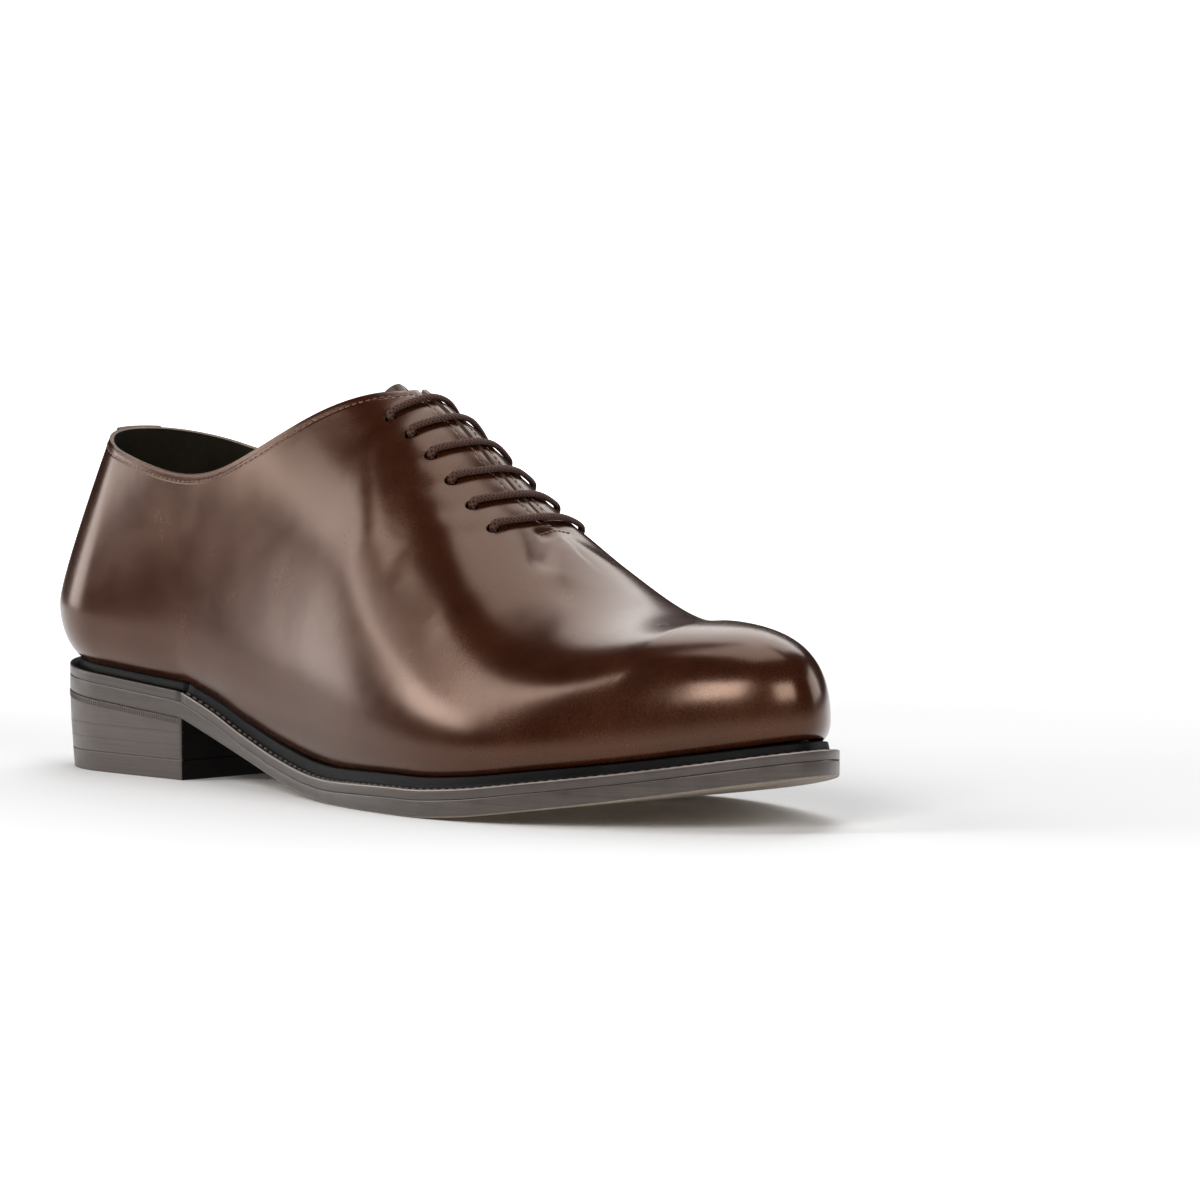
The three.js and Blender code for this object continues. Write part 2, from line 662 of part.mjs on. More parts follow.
// Backstrap: a small patch over the top of the heel back, cut from the upper's own surface; its lower
// corners are drawn up by a share of its height
const CORNER_LIFT = 0.35;
function backstrap() {
  const { points, add } = pointPool();
  const columns = 8;
  const rows = 5;
  const grid = [];
  const heel = (t) => fanStation(t < 0 ? LATERAL : MEDIAL, HEEL_CENTRE, new THREE.Vector2(0, 0),
    ROUND, ROUND, 1 - Math.abs(t));
  for (let i = 0; i <= columns; i++) {
    const across = (i / columns - 0.5) * 2;
    const station = heel(-across * (BACKSTRAP_WIDTH / HEEL_WIDTH));
    const top = topLevel(station, 0);
    const drop = BACKSTRAP_HEIGHT * (1 - CORNER_LIFT * Math.abs(across) ** 3);
    const topZ = skinPoint(station, top).z;
    const low = levelWhere((level) => skinPoint(station, level).z - (topZ - drop));
    const row = [];
    for (let j = 0; j <= rows; j++) row.push(add(skinPoint(station, low + ((top - low) * j) / rows)));
    grid.push(row);
  }
  return thicken(points, gridFaces(grid, false), GAP + BACKSTRAP_THICKNESS, -GAP);
}
place("backstrap", backstrap(), calfLeather);

// Tongue: a thin sheet under the facings; its foot lies under the vamp and its top stands above them
const LACE_ROOM = LACE_DIAMETER + 2 * GAP;
const TONGUE_FOOT = 0.66;
const TONGUE = [
  { x: 0.436, width: 0.4, lift: 1 },
  { x: 0.444, width: 0.66, lift: 0.68 },
  { x: 0.457, width: 0.86, lift: 0.27 },
  { x: 0.475, width: 0.96, lift: 0 },
  { x: 0.54, width: 1, lift: 0 },
  { x: 0.61, width: 0.98, lift: 0 },
  { x: TONGUE_FOOT, width: 0.86, lift: 0 },
];
const tongueWidth = steadyCurve(TONGUE, (r) => (r.width * TONGUE_WIDTH) / 2);
const tongueLift = steadyCurve(TONGUE, (r) => r.lift * TONGUE_RISE);
const TONGUE_COLUMNS = 5;
function tongue() {
  const { points, add } = pointPool();
  const shares = TONGUE.flatMap((r, i) => (i === 0 ? [r.x] : [(r.x + TONGUE[i - 1].x) / 2, r.x]));
  const grid = shares.map((share) => {
    const row = [];
    const foot = THREE.MathUtils.smoothstep(share, THROAT_BASE, TONGUE_FOOT);
    const depth = WALL + THREE.MathUtils.lerp(LACE_ROOM, GAP, foot);
    for (let j = -TONGUE_COLUMNS; j <= TONGUE_COLUMNS; j++) {
      const side = j < 0 ? LATERAL : MEDIAL;
      const distance = Math.max((Math.abs(j) / TONGUE_COLUMNS) * tongueWidth(share), NEAR_CREST);
      const { point, normal } = placeOnThroat(side, share, distance);
      point.addScaledVector(normal, -depth);
      point.z += tongueLift(share);
      row.push(add(point));
    }
    return row;
  });
  return thicken(points, gridFaces(grid, false), 0, TONGUE_THICKNESS);
}
place("tongue", tongue(), calfLeather);

// Lace: bars straight across each pair of eyelets, joined by runs along the inside of the facings
const LACE_SIDES = 8;
const BAR_STEPS = 14;
const RUN_STEPS = 5;
const LACE_OVER = LACE_DIAMETER / 2 + GAP;
const LACE_UNDER = WALL + LACE_DIAMETER / 2 + GAP;

// Half a bar, from inside the facing to the crest: inset as a share of the eyelet's, height of the
// lace's middle over the leather's outside, and sag towards the toe as a share of the lace's thickness
const HALF_BAR = [
  { inset: 1, height: -LACE_UNDER, sag: 0 },
  { inset: 1, height: -WALL / 2, sag: 0 },
  { inset: 0.985, height: LACE_OVER / 2, sag: 0 },
  { inset: 0.88, height: LACE_OVER + GAP, sag: 0.1 },
  { inset: 0.45, height: LACE_OVER, sag: 1 },
  { inset: 0, height: LACE_OVER, sag: 1.35 },
];

// Runs: two rows up on one side, in turns of two rows on each side, and one row up at both ends;
// lane moves a run sideways where two lie side by side
const TURNS = [MEDIAL, MEDIAL, LATERAL, LATERAL];
const RUNS = Array.from({ length: EYELET_ROWS - 2 }, (_, row) => ({
  side: TURNS[row % TURNS.length],
  from: row,
  to: row + 2,
  lane: row % 2 ? -1 : 1,
}));
RUNS.push({ side: LATERAL, from: 0, to: 1, lane: 0 });
RUNS.push({ side: TURNS[(LAST_ROW - 1) % TURNS.length], from: LAST_ROW - 1, to: LAST_ROW, lane: 0 });

function cord(points, steps) {
  const section = new THREE.Shape();
  section.absarc(0, 0, LACE_DIAMETER / 2, 0, Math.PI * 2);
  const path = new THREE.CatmullRomCurve3(points, false, "centripetal");
  const geometry = new THREE.ExtrudeGeometry(section, {
    steps,
    curveSegments: LACE_SIDES / 2,
    bevelEnabled: false,
    extrudePath: path,
  });
  return solidOf(geometry);
}
function lacePoint(side, row, inset, height, sag = 0) {
  const share = eyeletShare(row) + (sag * LACE_DIAMETER) / SOLE_LENGTH;
  const { point, normal } = placeOnThroat(side, share, Math.max(inset, NEAR_CREST));
  return point.addScaledVector(normal, height);
}
function laceBar(_, row) {
  const half = (side) =>
    HALF_BAR.map((p) => lacePoint(side, row, eyeletInset(row) * p.inset, p.height, p.sag));
  return cord([...half(LATERAL), ...half(MEDIAL).reverse().slice(1)], BAR_STEPS);
}
function laceRun({ side, from, to, lane }) {
  const points = [];
  for (let i = 0; i <= RUN_STEPS; i++) {
    const row = THREE.MathUtils.lerp(from, to, i / RUN_STEPS);
    const bow = Math.sin((Math.PI * i) / RUN_STEPS) * lane * (LACE_DIAMETER / 2);
    points.push(lacePoint(side, row, eyeletInset(row) + bow, -LACE_UNDER));
  }
  return cord(points, RUN_STEPS);
}
function lace() {
  const pieces = [...Array.from({ length: EYELET_ROWS }, laceBar), ...RUNS.map(laceRun)];
  return geometryFrom(pieces.reduce((all, piece) => all.add(piece)));
}
place("lace", lace(), laceCotton);

// The part's origin is under the middle of its box, on the floor
const box = new THREE.Box3().setFromObject(group);
const middle = box.getCenter(new THREE.Vector3());
group.position.set(-middle.x, -middle.y, -box.min.z);

export default group;
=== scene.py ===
# %% [markdown]
# # A whole cut oxford in brown calf
# The whole front of this shoe is one piece of calf, pulled over a last and closed by six bars of lace.
# Almost everything that makes it look right is one smooth, hollow surface, so this lesson first sets up
# the curves of the last, and then hangs every piece on them: leather, welt, sole, heel, lace and thread.

# %% Load the frame
import math
import bpy
import bmesh
from mathutils import Vector, Matrix
from mathutils.bvhtree import BVHTree
from mathutils.kdtree import KDTree


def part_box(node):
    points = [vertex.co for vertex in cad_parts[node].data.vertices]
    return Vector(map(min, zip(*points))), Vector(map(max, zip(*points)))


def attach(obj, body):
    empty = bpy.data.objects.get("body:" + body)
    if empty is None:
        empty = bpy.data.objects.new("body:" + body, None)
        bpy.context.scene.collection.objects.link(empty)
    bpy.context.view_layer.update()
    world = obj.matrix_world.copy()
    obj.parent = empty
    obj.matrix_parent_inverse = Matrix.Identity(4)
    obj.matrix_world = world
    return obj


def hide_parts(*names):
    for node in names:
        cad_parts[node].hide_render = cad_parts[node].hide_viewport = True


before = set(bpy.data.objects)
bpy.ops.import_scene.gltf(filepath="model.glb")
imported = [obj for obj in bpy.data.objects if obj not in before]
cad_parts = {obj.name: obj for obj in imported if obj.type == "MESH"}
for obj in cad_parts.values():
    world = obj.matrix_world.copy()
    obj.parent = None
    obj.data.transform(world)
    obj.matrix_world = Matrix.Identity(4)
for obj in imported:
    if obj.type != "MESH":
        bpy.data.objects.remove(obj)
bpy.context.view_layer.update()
print("nodes:", sorted(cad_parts))

# %% [markdown]
# ## The camera
# The picture was taken from the outer side, a little ahead of the heel and only just above the floor,
# with a long lens. A long lens keeps the toe and the heel at nearly the same scale. The camera is
# placed by its angle round the shoe and its height angle, then slid sideways to frame it.

# %% Camera at the picture's angle
AZIMUTH = math.radians(47.22)
ELEVATION = math.radians(4.3)
DISTANCE = 2.4
LENS = 254.56
TARGET = Vector((0.0021, 0.00185, 0.04))
# in pixels of the picture: its middle, where the target falls in it, and the length of the lens
PICTURE_MIDDLE, TARGET_ACROSS, TARGET_DOWN, LENS_PIXELS = 600, 448.2, 652.48, 8485.18
SLIDE = Vector((TARGET_ACROSS - PICTURE_MIDDLE, TARGET_DOWN - PICTURE_MIDDLE)) / LENS_PIXELS * DISTANCE

back = Vector((math.sin(AZIMUTH) * math.cos(ELEVATION),
               -math.cos(AZIMUTH) * math.cos(ELEVATION), math.sin(ELEVATION)))
right = Vector((math.cos(AZIMUTH), math.sin(AZIMUTH), 0))
up = back.cross(right)
camera_data = bpy.data.cameras.new("camera")
camera = bpy.data.objects.new("camera", camera_data)
bpy.context.scene.collection.objects.link(camera)
camera_data.lens = LENS
camera_data.sensor_width = 36
camera_data.clip_end = 50
turn = Matrix((right, up, back)).transposed().to_4x4()
place = TARGET + back * DISTANCE - right * SLIDE.x + up * SLIDE.y
camera.matrix_world = Matrix.Translation(place) @ turn
bpy.context.scene.camera = camera
print("camera stands at", [round(v, 3) for v in place])

# %% [markdown]
# ## Curves of the last
# A last is the wooden form that a shoe is made on. Shoemakers describe it by a few numbers at stations
# along its length, and a smooth curve runs through them. Two kinds of curve are enough here: one bends
# freely and suits outlines, the other never overshoots and suits surfaces with flat stretches.

# %% Two kinds of curve through a table
def segment(xs, at):
    """The place, kept inside the table, the segment that holds it, and that segment's length."""
    x = min(max(at, xs[0]), xs[-1])
    i = 0
    while i < len(xs) - 2 and x > xs[i + 1]:
        i += 1
    return x, i, xs[i + 1] - xs[i]


def flowing(points):
    """A curve that bends evenly from point to point."""
    xs = [p[0] for p in points]
    ys = [p[1] for p in points]
    n = len(xs)
    bend = [0.0] * n
    work = [0.0] * n
    for i in range(1, n - 1):
        ratio = (xs[i] - xs[i - 1]) / (xs[i + 1] - xs[i - 1])
        pivot = ratio * bend[i - 1] + 2
        rise = (ys[i + 1] - ys[i]) / (xs[i + 1] - xs[i]) - (ys[i] - ys[i - 1]) / (xs[i] - xs[i - 1])
        bend[i] = (ratio - 1) / pivot
        work[i] = (6 * rise / (xs[i + 1] - xs[i - 1]) - ratio * work[i - 1]) / pivot
    for i in range(n - 2, 0, -1):
        bend[i] = bend[i] * bend[i + 1] + work[i]
    bend[0] = bend[-1] = 0.0

    def curve(at):
        x, i, h = segment(xs, at)
        a = (xs[i + 1] - x) / h
        b = 1 - a
        curl = ((a ** 3 - a) * bend[i] + (b ** 3 - b) * bend[i + 1]) * h * h / 6
        return a * ys[i] + b * ys[i + 1] + curl
    return curve


def steady(points):
    """A curve that never overshoots a point, so flat stretches stay flat."""
    xs = [p[0] for p in points]
    ys = [p[1] for p in points]
    n = len(xs)
    step = [(ys[i + 1] - ys[i]) / (xs[i + 1] - xs[i]) for i in range(n - 1)]
    slope = [step[0]]
    for a, b in zip(step, step[1:]):
        slope.append(0 if a * b <= 0 else 2 * a * b / (a + b))
    slope.append(step[-1])

    def curve(at):
        x, i, h = segment(xs, at)
        t = (x - xs[i]) / h
        ease = t * t * (3 - 2 * t)
        return (ys[i] * (1 - ease) + ys[i + 1] * ease
                + h * slope[i] * t * (1 - t) ** 2 - h * slope[i + 1] * t * t * (1 - t))
    return curve


def arc(a, b, c, d, t):
    """A cubic arc from a to d with handles b and c."""
    return a * (1 - t) ** 3 + 3 * b * t * (1 - t) ** 2 + 3 * c * t * t * (1 - t) + d * t ** 3


# %% [markdown]
# ## Sizes of the shoe
# All lengths here are millimetres, measured from the back of the sole, the middle of the heel and the
# floor. Places along the shoe are shares of the sole's length, so the tables read like a last maker's
# card: at 0.62 of the length the outer half of the sole is 0.512 of the ball's width.

# %% Sizes and tables
LENGTH, BALL, WAIST, HEEL = 299, 104, 66, 65
HEEL_LENGTH, HEEL_HEIGHT, HEEL_PITCH = 71, 18, 5.5
TIP_SHIFT = 0.5
WELT, WELT_WIDTH, RIB, LIP = 2.8, 8, 4.6, 0.7
WALL, BACK_HEIGHT, COLLAR_HEIGHT, INSTEP = 1.8, 99.5, 88.2, 114
HEEL_CENTRE, THROAT_TOP, THROAT_BASE, TOE_CENTRE = 0.108, 0.4585, 0.63, 0.86
GAP, SIDE_RISE = 0.3, 18
OUTER, INNER = -1, 1

# share of the length, half width of the sole to the outer and the inner side
OUTLINE = [
    (0.108, 0.5 * HEEL, 0.5 * HEEL), (0.18, 0.5 * HEEL, 0.495 * HEEL), (0.235, 0.498 * HEEL, 0.475 * HEEL),
    (0.3, 0.512 * WAIST, 0.447 * WAIST), (0.38, 0.57 * WAIST, 0.442 * WAIST),
    (0.46, 0.416 * BALL, 0.31 * BALL), (0.54, 0.475 * BALL, 0.372 * BALL),
    (0.62, 0.512 * BALL, 0.438 * BALL), (0.69, 0.515 * BALL, 0.48 * BALL),
    (0.75, 0.487 * BALL, 0.472 * BALL), (0.8, 0.443 * BALL, 0.437 * BALL),
    (0.86, 0.366 * BALL, 0.372 * BALL),
]
# share of the length, height of the sole's underside, its thickness
BOTTOM = [(0.235, 18, 5), (0.28, 13.86, 4.85), (0.34, 8.82, 3.65), (0.4, 4.32, 3.4), (0.46, 1.35, 3.4),
          (0.52, 0, 4.1), (0.64, 0, 5), (0.7, 1.05, 5), (0.78, 4.05, 5), (0.86, 7.65, 4.75),
          (0.93, 11.25, 4.6), (1, 15, 4.6)]
# share, reach and swell as shares of the welt's width, rise as a share of SIDE_RISE, side and crown fullness
SECTIONS = [
    (0, 0.45, 0.85, 0.84, 0.1, 0), (0.05, 0.43, 0.78, 0.84, 0.13, 0.06),
    (0.108, 0.42, 0.7, 0.79, 0.2, 0.22), (0.2, 0.42, 0.66, 0.79, 0.28, 0.42),
    (0.3, 0.45, 0.72, 0.88, 0.33, 0.45), (0.4, 0.5, 0.66, 0.87, 0.42, 0.45),
    (0.5, 0.55, 0.5, 0.73, 0.48, 0.46), (0.6, 0.56, 0.36, 0.51, 0.48, 0.5),
    (0.7, 0.56, 0.3, 0.39, 0.47, 0.57), (0.79, 0.56, 0.27, 0.33, 0.52, 0.65),
    (0.86, 0.56, 0.25, 0.3, 0.58, 0.72), (0.94, 0.56, 0.25, 0.3, 0.62, 0.75),
    (1, 0.56, 0.25, 0.3, 0.64, 0.77),
]
# share, height as a share of the instep, sideways shift as a share of the ball's width
CREST = [
    (0.108, 1.3, 0), (0.2, 1.3, 0), (0.28, 1.26, 0.002), (0.34, 1.175, 0.004), (0.4, 1.08, 0.006),
    (0.4585, 1, 0.008), (0.495, 0.952, 0.01), (0.53, 0.889, 0.012), (0.58, 0.785, 0.017),
    (0.63, 0.695, 0.024), (0.69, 0.592, 0.032), (0.74, 0.523, 0.036), (0.79, 0.485, 0.034),
    (0.83, 0.478, 0.028), (0.86, 0.483, 0.022),
]
# share, height of the top edge of the collar as a share of a height, and that height
TOPLINE = [
    (-0.02, 1.004, BACK_HEIGHT), (0.03, 0.996, BACK_HEIGHT), (0.1, 0.948, BACK_HEIGHT),
    (0.18, 1.014, COLLAR_HEIGHT), (0.235, 1, COLLAR_HEIGHT), (0.275, 1.022, COLLAR_HEIGHT),
    (0.315, 1.08, COLLAR_HEIGHT), (0.35, 0.886, INSTEP), (0.39, 0.945, INSTEP),
    (0.425, 0.984, INSTEP), (0.445, 0.996, INSTEP), (0.4585, 0.998, INSTEP),
]

half_width = {side: flowing([(r[0], r[k]) for r in OUTLINE]) for side, k in ((OUTER, 1), (INNER, 2))}
bottom = steady([(r[0], r[1]) for r in BOTTOM])
thickness = steady([(r[0], r[2]) for r in BOTTOM])
rib_drop = steady([(0, 2.6), (0.2, 2.4), (0.45, 1.2), (0.7, 1.4), (1, 2)])
crest_height = flowing([(r[0], r[1] * INSTEP) for r in CREST])
crest_shift = flowing([(r[0], r[2] * BALL) for r in CREST])
topline = flowing([(r[0], r[1] * r[2]) for r in TOPLINE])
reach, swell_out = [flowing([(r[0], r[k] * WELT_WIDTH) for r in SECTIONS]) for k in (1, 2)]
swell_rise = flowing([(r[0], r[3] * SIDE_RISE) for r in SECTIONS])
side_fullness, crown_fullness = [flowing([(r[0], r[k]) for r in SECTIONS]) for k in (4, 5)]


def sole_under(x):
    share, breast = x / LENGTH, BOTTOM[0][0]
    if share < breast:
        return HEEL_HEIGHT + HEEL_PITCH * (1 - share / breast)
    return bottom(share)


def sole_top(x):
    return sole_under(x) + thickness(x / LENGTH)


def shelf(x):
    return sole_top(x) + WELT


def rib_top(x):
    return shelf(x) + RIB - rib_drop(x / LENGTH)


# %% [markdown]
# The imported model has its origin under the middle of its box. The sole's own box tells how far that is
# from the back of the heel, so the pieces made here land exactly on the CAD ones.

# %% From the last's millimetres to the frame's metres
low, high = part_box("outsole")
outer_reach = max(half_width[OUTER](0.4 + 0.001 * i) for i in range(461))
ORIGIN = Vector((low.x, low.y + outer_reach / 1000, 0))


def metres(p):
    return Vector((p[0] / 1000, p[1] / 1000, p[2] / 1000)) + ORIGIN


def from_frame(co):
    return (co - ORIGIN) * 1000


print("back of the sole is at", [round(v, 5) for v in ORIGIN])

# %% [markdown]
# ## Stations and levels
# The upper is described by where you stand on the sole's edge, a station, and how high you climb, a
# level. Most stations are plain cross sections. Round the heel and the toe they open like a fan, so the
# leather wraps the ends without a pinch.

# %% Stations round the sole's edge
WIDEST = 0.26


class Station:
    """A place on the sole's edge, the way inwards from it, and the crest that its section climbs to."""

    def __init__(self, side, edge, inward, crest_share):
        self.side = side
        self.edge = Vector(edge)
        self.inward = Vector(inward).normalized()
        self.share = edge[0] / LENGTH
        self.crest = Vector((crest_share * LENGTH, crest_shift(crest_share), crest_height(crest_share)))
        self.reach, self.out = reach(self.share), swell_out(self.share)
        self.foot = rib_top(edge[0]) + 0.02
        self.swell = self.foot + swell_rise(self.share)
        self.side_full, self.crown = side_fullness(self.share), crown_fullness(self.share)

    def plan(self, inset):
        return self.edge + self.inward * inset

    def skin(self, level):
        """The outside of the leather: level 0 is its foot, WIDEST the widest place, 1 the crest."""
        if level <= WIDEST:
            t = level / WIDEST
            p = self.plan(self.reach - self.out * arc(0, 0.55, 1, 1, t))
            return Vector((p.x, p.y, self.foot + (self.swell - self.foot) * arc(0, 0.14, 0.55, 1, t)))
        t = (level - WIDEST) / (1 - WIDEST)
        keep = arc(1, 1, self.crown, 0, t)
        lift = arc(0, self.side_full, 1, 1, t)
        p = self.plan(self.reach - self.out)
        return Vector((self.crest.x + (p.x - self.crest.x) * keep,
                       self.crest.y + (p.y - self.crest.y) * keep,
                       self.swell + (self.crest.z - self.swell) * lift))


def cross_station(side, share):
    near, far = max(share - 1e-3, HEEL_CENTRE), min(share + 1e-3, TOE_CENTRE)
    slope = (half_width[side](far) - half_width[side](near)) / ((far - near) * LENGTH)
    return Station(side, (share * LENGTH, side * half_width[side](share)), (slope, -side), share)


def fan_station(side, share, end, side_handle, end_handle, t):
    start = cross_station(side, share)
    run, across = end[0] - start.edge.x, start.edge.y - end[1]
    slope = start.inward.x / start.inward.y
    px = (start.edge.x, start.edge.x + run * side_handle, end[0], end[0])
    py = (start.edge.y, start.edge.y - slope * run * side_handle, end[1] + across * end_handle, end[1])
    t0, t1 = max(t - 1e-4, 0), min(t + 1e-4, 1)
    along = Vector((arc(*px, t1) - arc(*px, t0), arc(*py, t1) - arc(*py, t0))).normalized()
    turned = -side * math.copysign(1, run)
    inward = (-math.copysign(1, run), 0) if t == 1 else (-along.y * turned, along.x * turned)
    return Station(side, (arc(*px, t), arc(*py, t)), inward, share)


def heel_station(side, t):
    return fan_station(side, HEEL_CENTRE, (0, 0), 0.5523, 0.5523, t)


def toe_station(side, t):
    return fan_station(side, TOE_CENTRE, (LENGTH, TIP_SHIFT), 0.56, 0.34, t)


def walk(side, heel, spans, toe):
    """Stations from the back of the heel to the tip: counts round the heel, over each span, round the toe."""
    stations = [heel_station(side, 1 - i / heel) for i in range(heel)]
    start = HEEL_CENTRE
    for end, steps in spans:
        stations += [cross_station(side, start + (end - start) * i / steps) for i in range(steps)]
        start = end
    return stations + [toe_station(side, i / toe) for i in range(toe + 1)]


# %% [markdown]
# The top edge is found on each section by halving: where the leather meets the collar's line, or comes
# to within half a gap of the crest in the throat.

# %% Top edge of the leather
def level_where(test, low=WIDEST, high=1.0):
    for _ in range(30):
        middle = (low + high) / 2
        if test(middle) < 0:
            low = middle
        else:
            high = middle
    return (low + high) / 2


def half_gap(share):
    return 1.1 * (0.45 + 0.55 * (THROAT_BASE - share) / (THROAT_BASE - THROAT_TOP))


def from_crest(station, level):
    p = station.skin(level)
    return math.hypot(p.x - station.crest.x, p.y - station.crest.y)


def top_level(station):
    if station.share >= THROAT_BASE - 1e-6:
        return 1.0
    if station.share >= THROAT_TOP - 1e-6:
        gap = half_gap(station.share)
        return level_where(lambda level: gap - from_crest(station, level))

    def above(level):
        p = station.skin(level)
        return p.z - topline(p.x / LENGTH)
    return level_where(above)


def on_throat(side, share, distance):
    """Point and outward direction of the leather at a share of the length and a distance from the crest."""
    def at(s, d):
        station = cross_station(side, s)
        return station.skin(level_where(lambda level: d - from_crest(station, level)))
    step = 0.5
    along = at(share + step / LENGTH, distance) - at(share - step / LENGTH, distance)
    across = at(share, distance + step) - at(share, max(distance - step, 0.01))
    normal = across.cross(along).normalized()
    if normal.z < 0:
        normal.negate()
    return at(share, distance), normal


# %% [markdown]
# ## A grid carried onto the shoe
# One small helper makes most pieces. It asks Blender for a flat grid and carries each corner to its
# place on the last. Because the grid knows its columns and rows, every piece also gets a UV map that
# follows it, which the brushed edges, the braid and the thread need later.

# %% Grid, closing and finishing helpers
SAME_PLACE = 0.00002


def carried_grid(bm, columns, rows, point):
    """A flat grid with its corners moved to point(column, row), in millimetres on the last."""
    made = bmesh.ops.create_grid(bm, x_segments=columns, y_segments=rows, size=0.5)["verts"]
    uv = bm.loops.layers.uv.verify()
    flat = {v: ((v.co.x + 0.5), (v.co.y + 0.5)) for v in made}
    faces = {f for v in made for f in v.link_faces}
    for face in faces:
        for loop in face.loops:
            loop[uv].uv = flat[loop.vert]
    for v, (a, b) in flat.items():
        v.co = metres(point(round(a * columns), round(b * rows)))
    return made


def lengths_along(points):
    """How far along a path each of its points lies."""
    lengths = [0.0]
    for a, b in zip(points, points[1:]):
        lengths.append(lengths[-1] + (b - a).length)
    return lengths


def lay_uv(bm, made, place):
    """Gives each corner of a carried grid the UV that place(share along, share across, corner) returns."""
    uv = bm.loops.layers.uv.verify()
    for face in {f for v in made for f in v.link_faces}:
        for loop in face.loops:
            loop[uv].uv = place(*loop[uv].uv, loop)


def close_seams(bm):
    bmesh.ops.remove_doubles(bm, verts=bm.verts, dist=SAME_PLACE)
    bmesh.ops.dissolve_degenerate(bm, edges=bm.edges, dist=SAME_PLACE / 2)


def face_outwards(bm, middle=None):
    """Turns all faces outwards, measured from a point inside."""
    bmesh.ops.recalc_face_normals(bm, faces=bm.faces)
    inside = middle or sum((v.co for v in bm.verts), Vector()) / len(bm.verts)
    outward = sum(f.calc_area() * f.normal.dot(f.calc_center_median() - inside) for f in bm.faces)
    if outward < 0:
        bmesh.ops.reverse_faces(bm, faces=bm.faces)


def piece(name, bm, materials, nodes=()):
    """Makes the object, dresses it, and fixes it to the shoe."""
    for face in bm.faces:
        face.smooth = True
    mesh = bpy.data.meshes.new(name)
    bm.to_mesh(mesh)
    bm.free()
    obj = bpy.data.objects.new(name, mesh)
    bpy.context.scene.collection.objects.link(obj)
    for material in materials:
        mesh.materials.append(material)
    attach(obj, "root")
    if nodes:
        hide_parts(*nodes)
    print(name, len(mesh.polygons), "faces")
    return obj


def solidify(obj, thickness):
    """Gives a sheet its thickness inwards, with the second material inside and the third on the rim."""
    wall = obj.modifiers.new("wall", "SOLIDIFY")
    wall.thickness = thickness / 1000
    wall.offset = -1
    wall.material_offset = 1
    wall.material_offset_rim = 2


def round_edges(obj, width, segments=2):
    soft = obj.modifiers.new("round edges", "BEVEL")
    soft.width = width / 1000
    soft.segments = segments
    soft.profile = 0.5
    soft.limit_method = "ANGLE"
    soft.angle_limit = math.radians(60)
    soft.harden_normals = True
    soft.material = -1


# %% [markdown]
# ## Finishes
# Leather, thread and stacked heel leather share a few effects: a fine grain, a soft unevenness that
# breaks up reflections, brushed lines along a trimmed edge. Each effect is a node group, built once and
# placed in every material that needs it with its own numbers.

# %% Node helpers
def group(name, inputs, outputs):
    tree = bpy.data.node_groups.new(name, "ShaderNodeTree")
    for label, kind, value in inputs:
        made = tree.interface.new_socket(label, in_out="INPUT", socket_type="NodeSocket" + kind)
        if value is not None:
            made.default_value = value
    for label, kind in outputs:
        tree.interface.new_socket(label, in_out="OUTPUT", socket_type="NodeSocket" + kind)
    return tree, tree.nodes.new("NodeGroupInput"), tree.nodes.new("NodeGroupOutput")


def add(tree, kind, settings=None, **inputs):
    """Adds a node, sets its fields and its sockets; a socket given as an output gets a link."""
    node = tree.nodes.new("ShaderNode" + kind)
    for key, value in (settings or {}).items():
        setattr(node, key, value)
    for key, value in inputs.items():
        index = key[1:] if key[0] == "_" else None
        socket = node.inputs[int(index)] if index else node.inputs[key.replace("_", " ")]
        if isinstance(value, bpy.types.NodeSocket):
            tree.links.new(value, socket)
        else:
            socket.default_value = value
    return node


def maths(tree, operation, a, b=0.0, c=0.0):
    return add(tree, "Math", {"operation": operation}, _0=a, _1=b, _2=c).outputs[0]


def fade(tree, value, low, high, start=0.0, end=1.0):
    """Goes softly from start to end while the value goes from low to high."""
    return add(tree, "MapRange", {"interpolation_type": "SMOOTHSTEP"}, Value=value, _1=low, _2=high,
               _3=start, _4=end).outputs[0]


def band(tree, value, low, high, soft):
    """One inside low to high, fading over soft on either side."""
    rise, fall = fade(tree, value, low - soft, low), fade(tree, value, high, high + soft, 1.0, 0.0)
    return maths(tree, "MULTIPLY", rise, fall)


def object_place(tree):
    return tree.nodes.new("ShaderNodeTexCoord").outputs["Object"]


def blend(tree, kind, factor, a, b):
    node = add(tree, "Mix", {"data_type": "RGBA", "blend_type": kind, "clamp_result": True})
    for socket, value in ((node.inputs[0], factor), (node.inputs[6], a), (node.inputs[7], b)):
        if isinstance(value, bpy.types.NodeSocket):
            tree.links.new(value, socket)
        else:
            socket.default_value = value
    return node.outputs[2]


# %% [markdown]
# Calf has a very fine pebble of flat cells with pores between them, a slow unevenness left by the
# stretch over the last, and a colour that was rubbed on by hand. The group puts out a height for the
# bump and two masks, one fine and one slow.

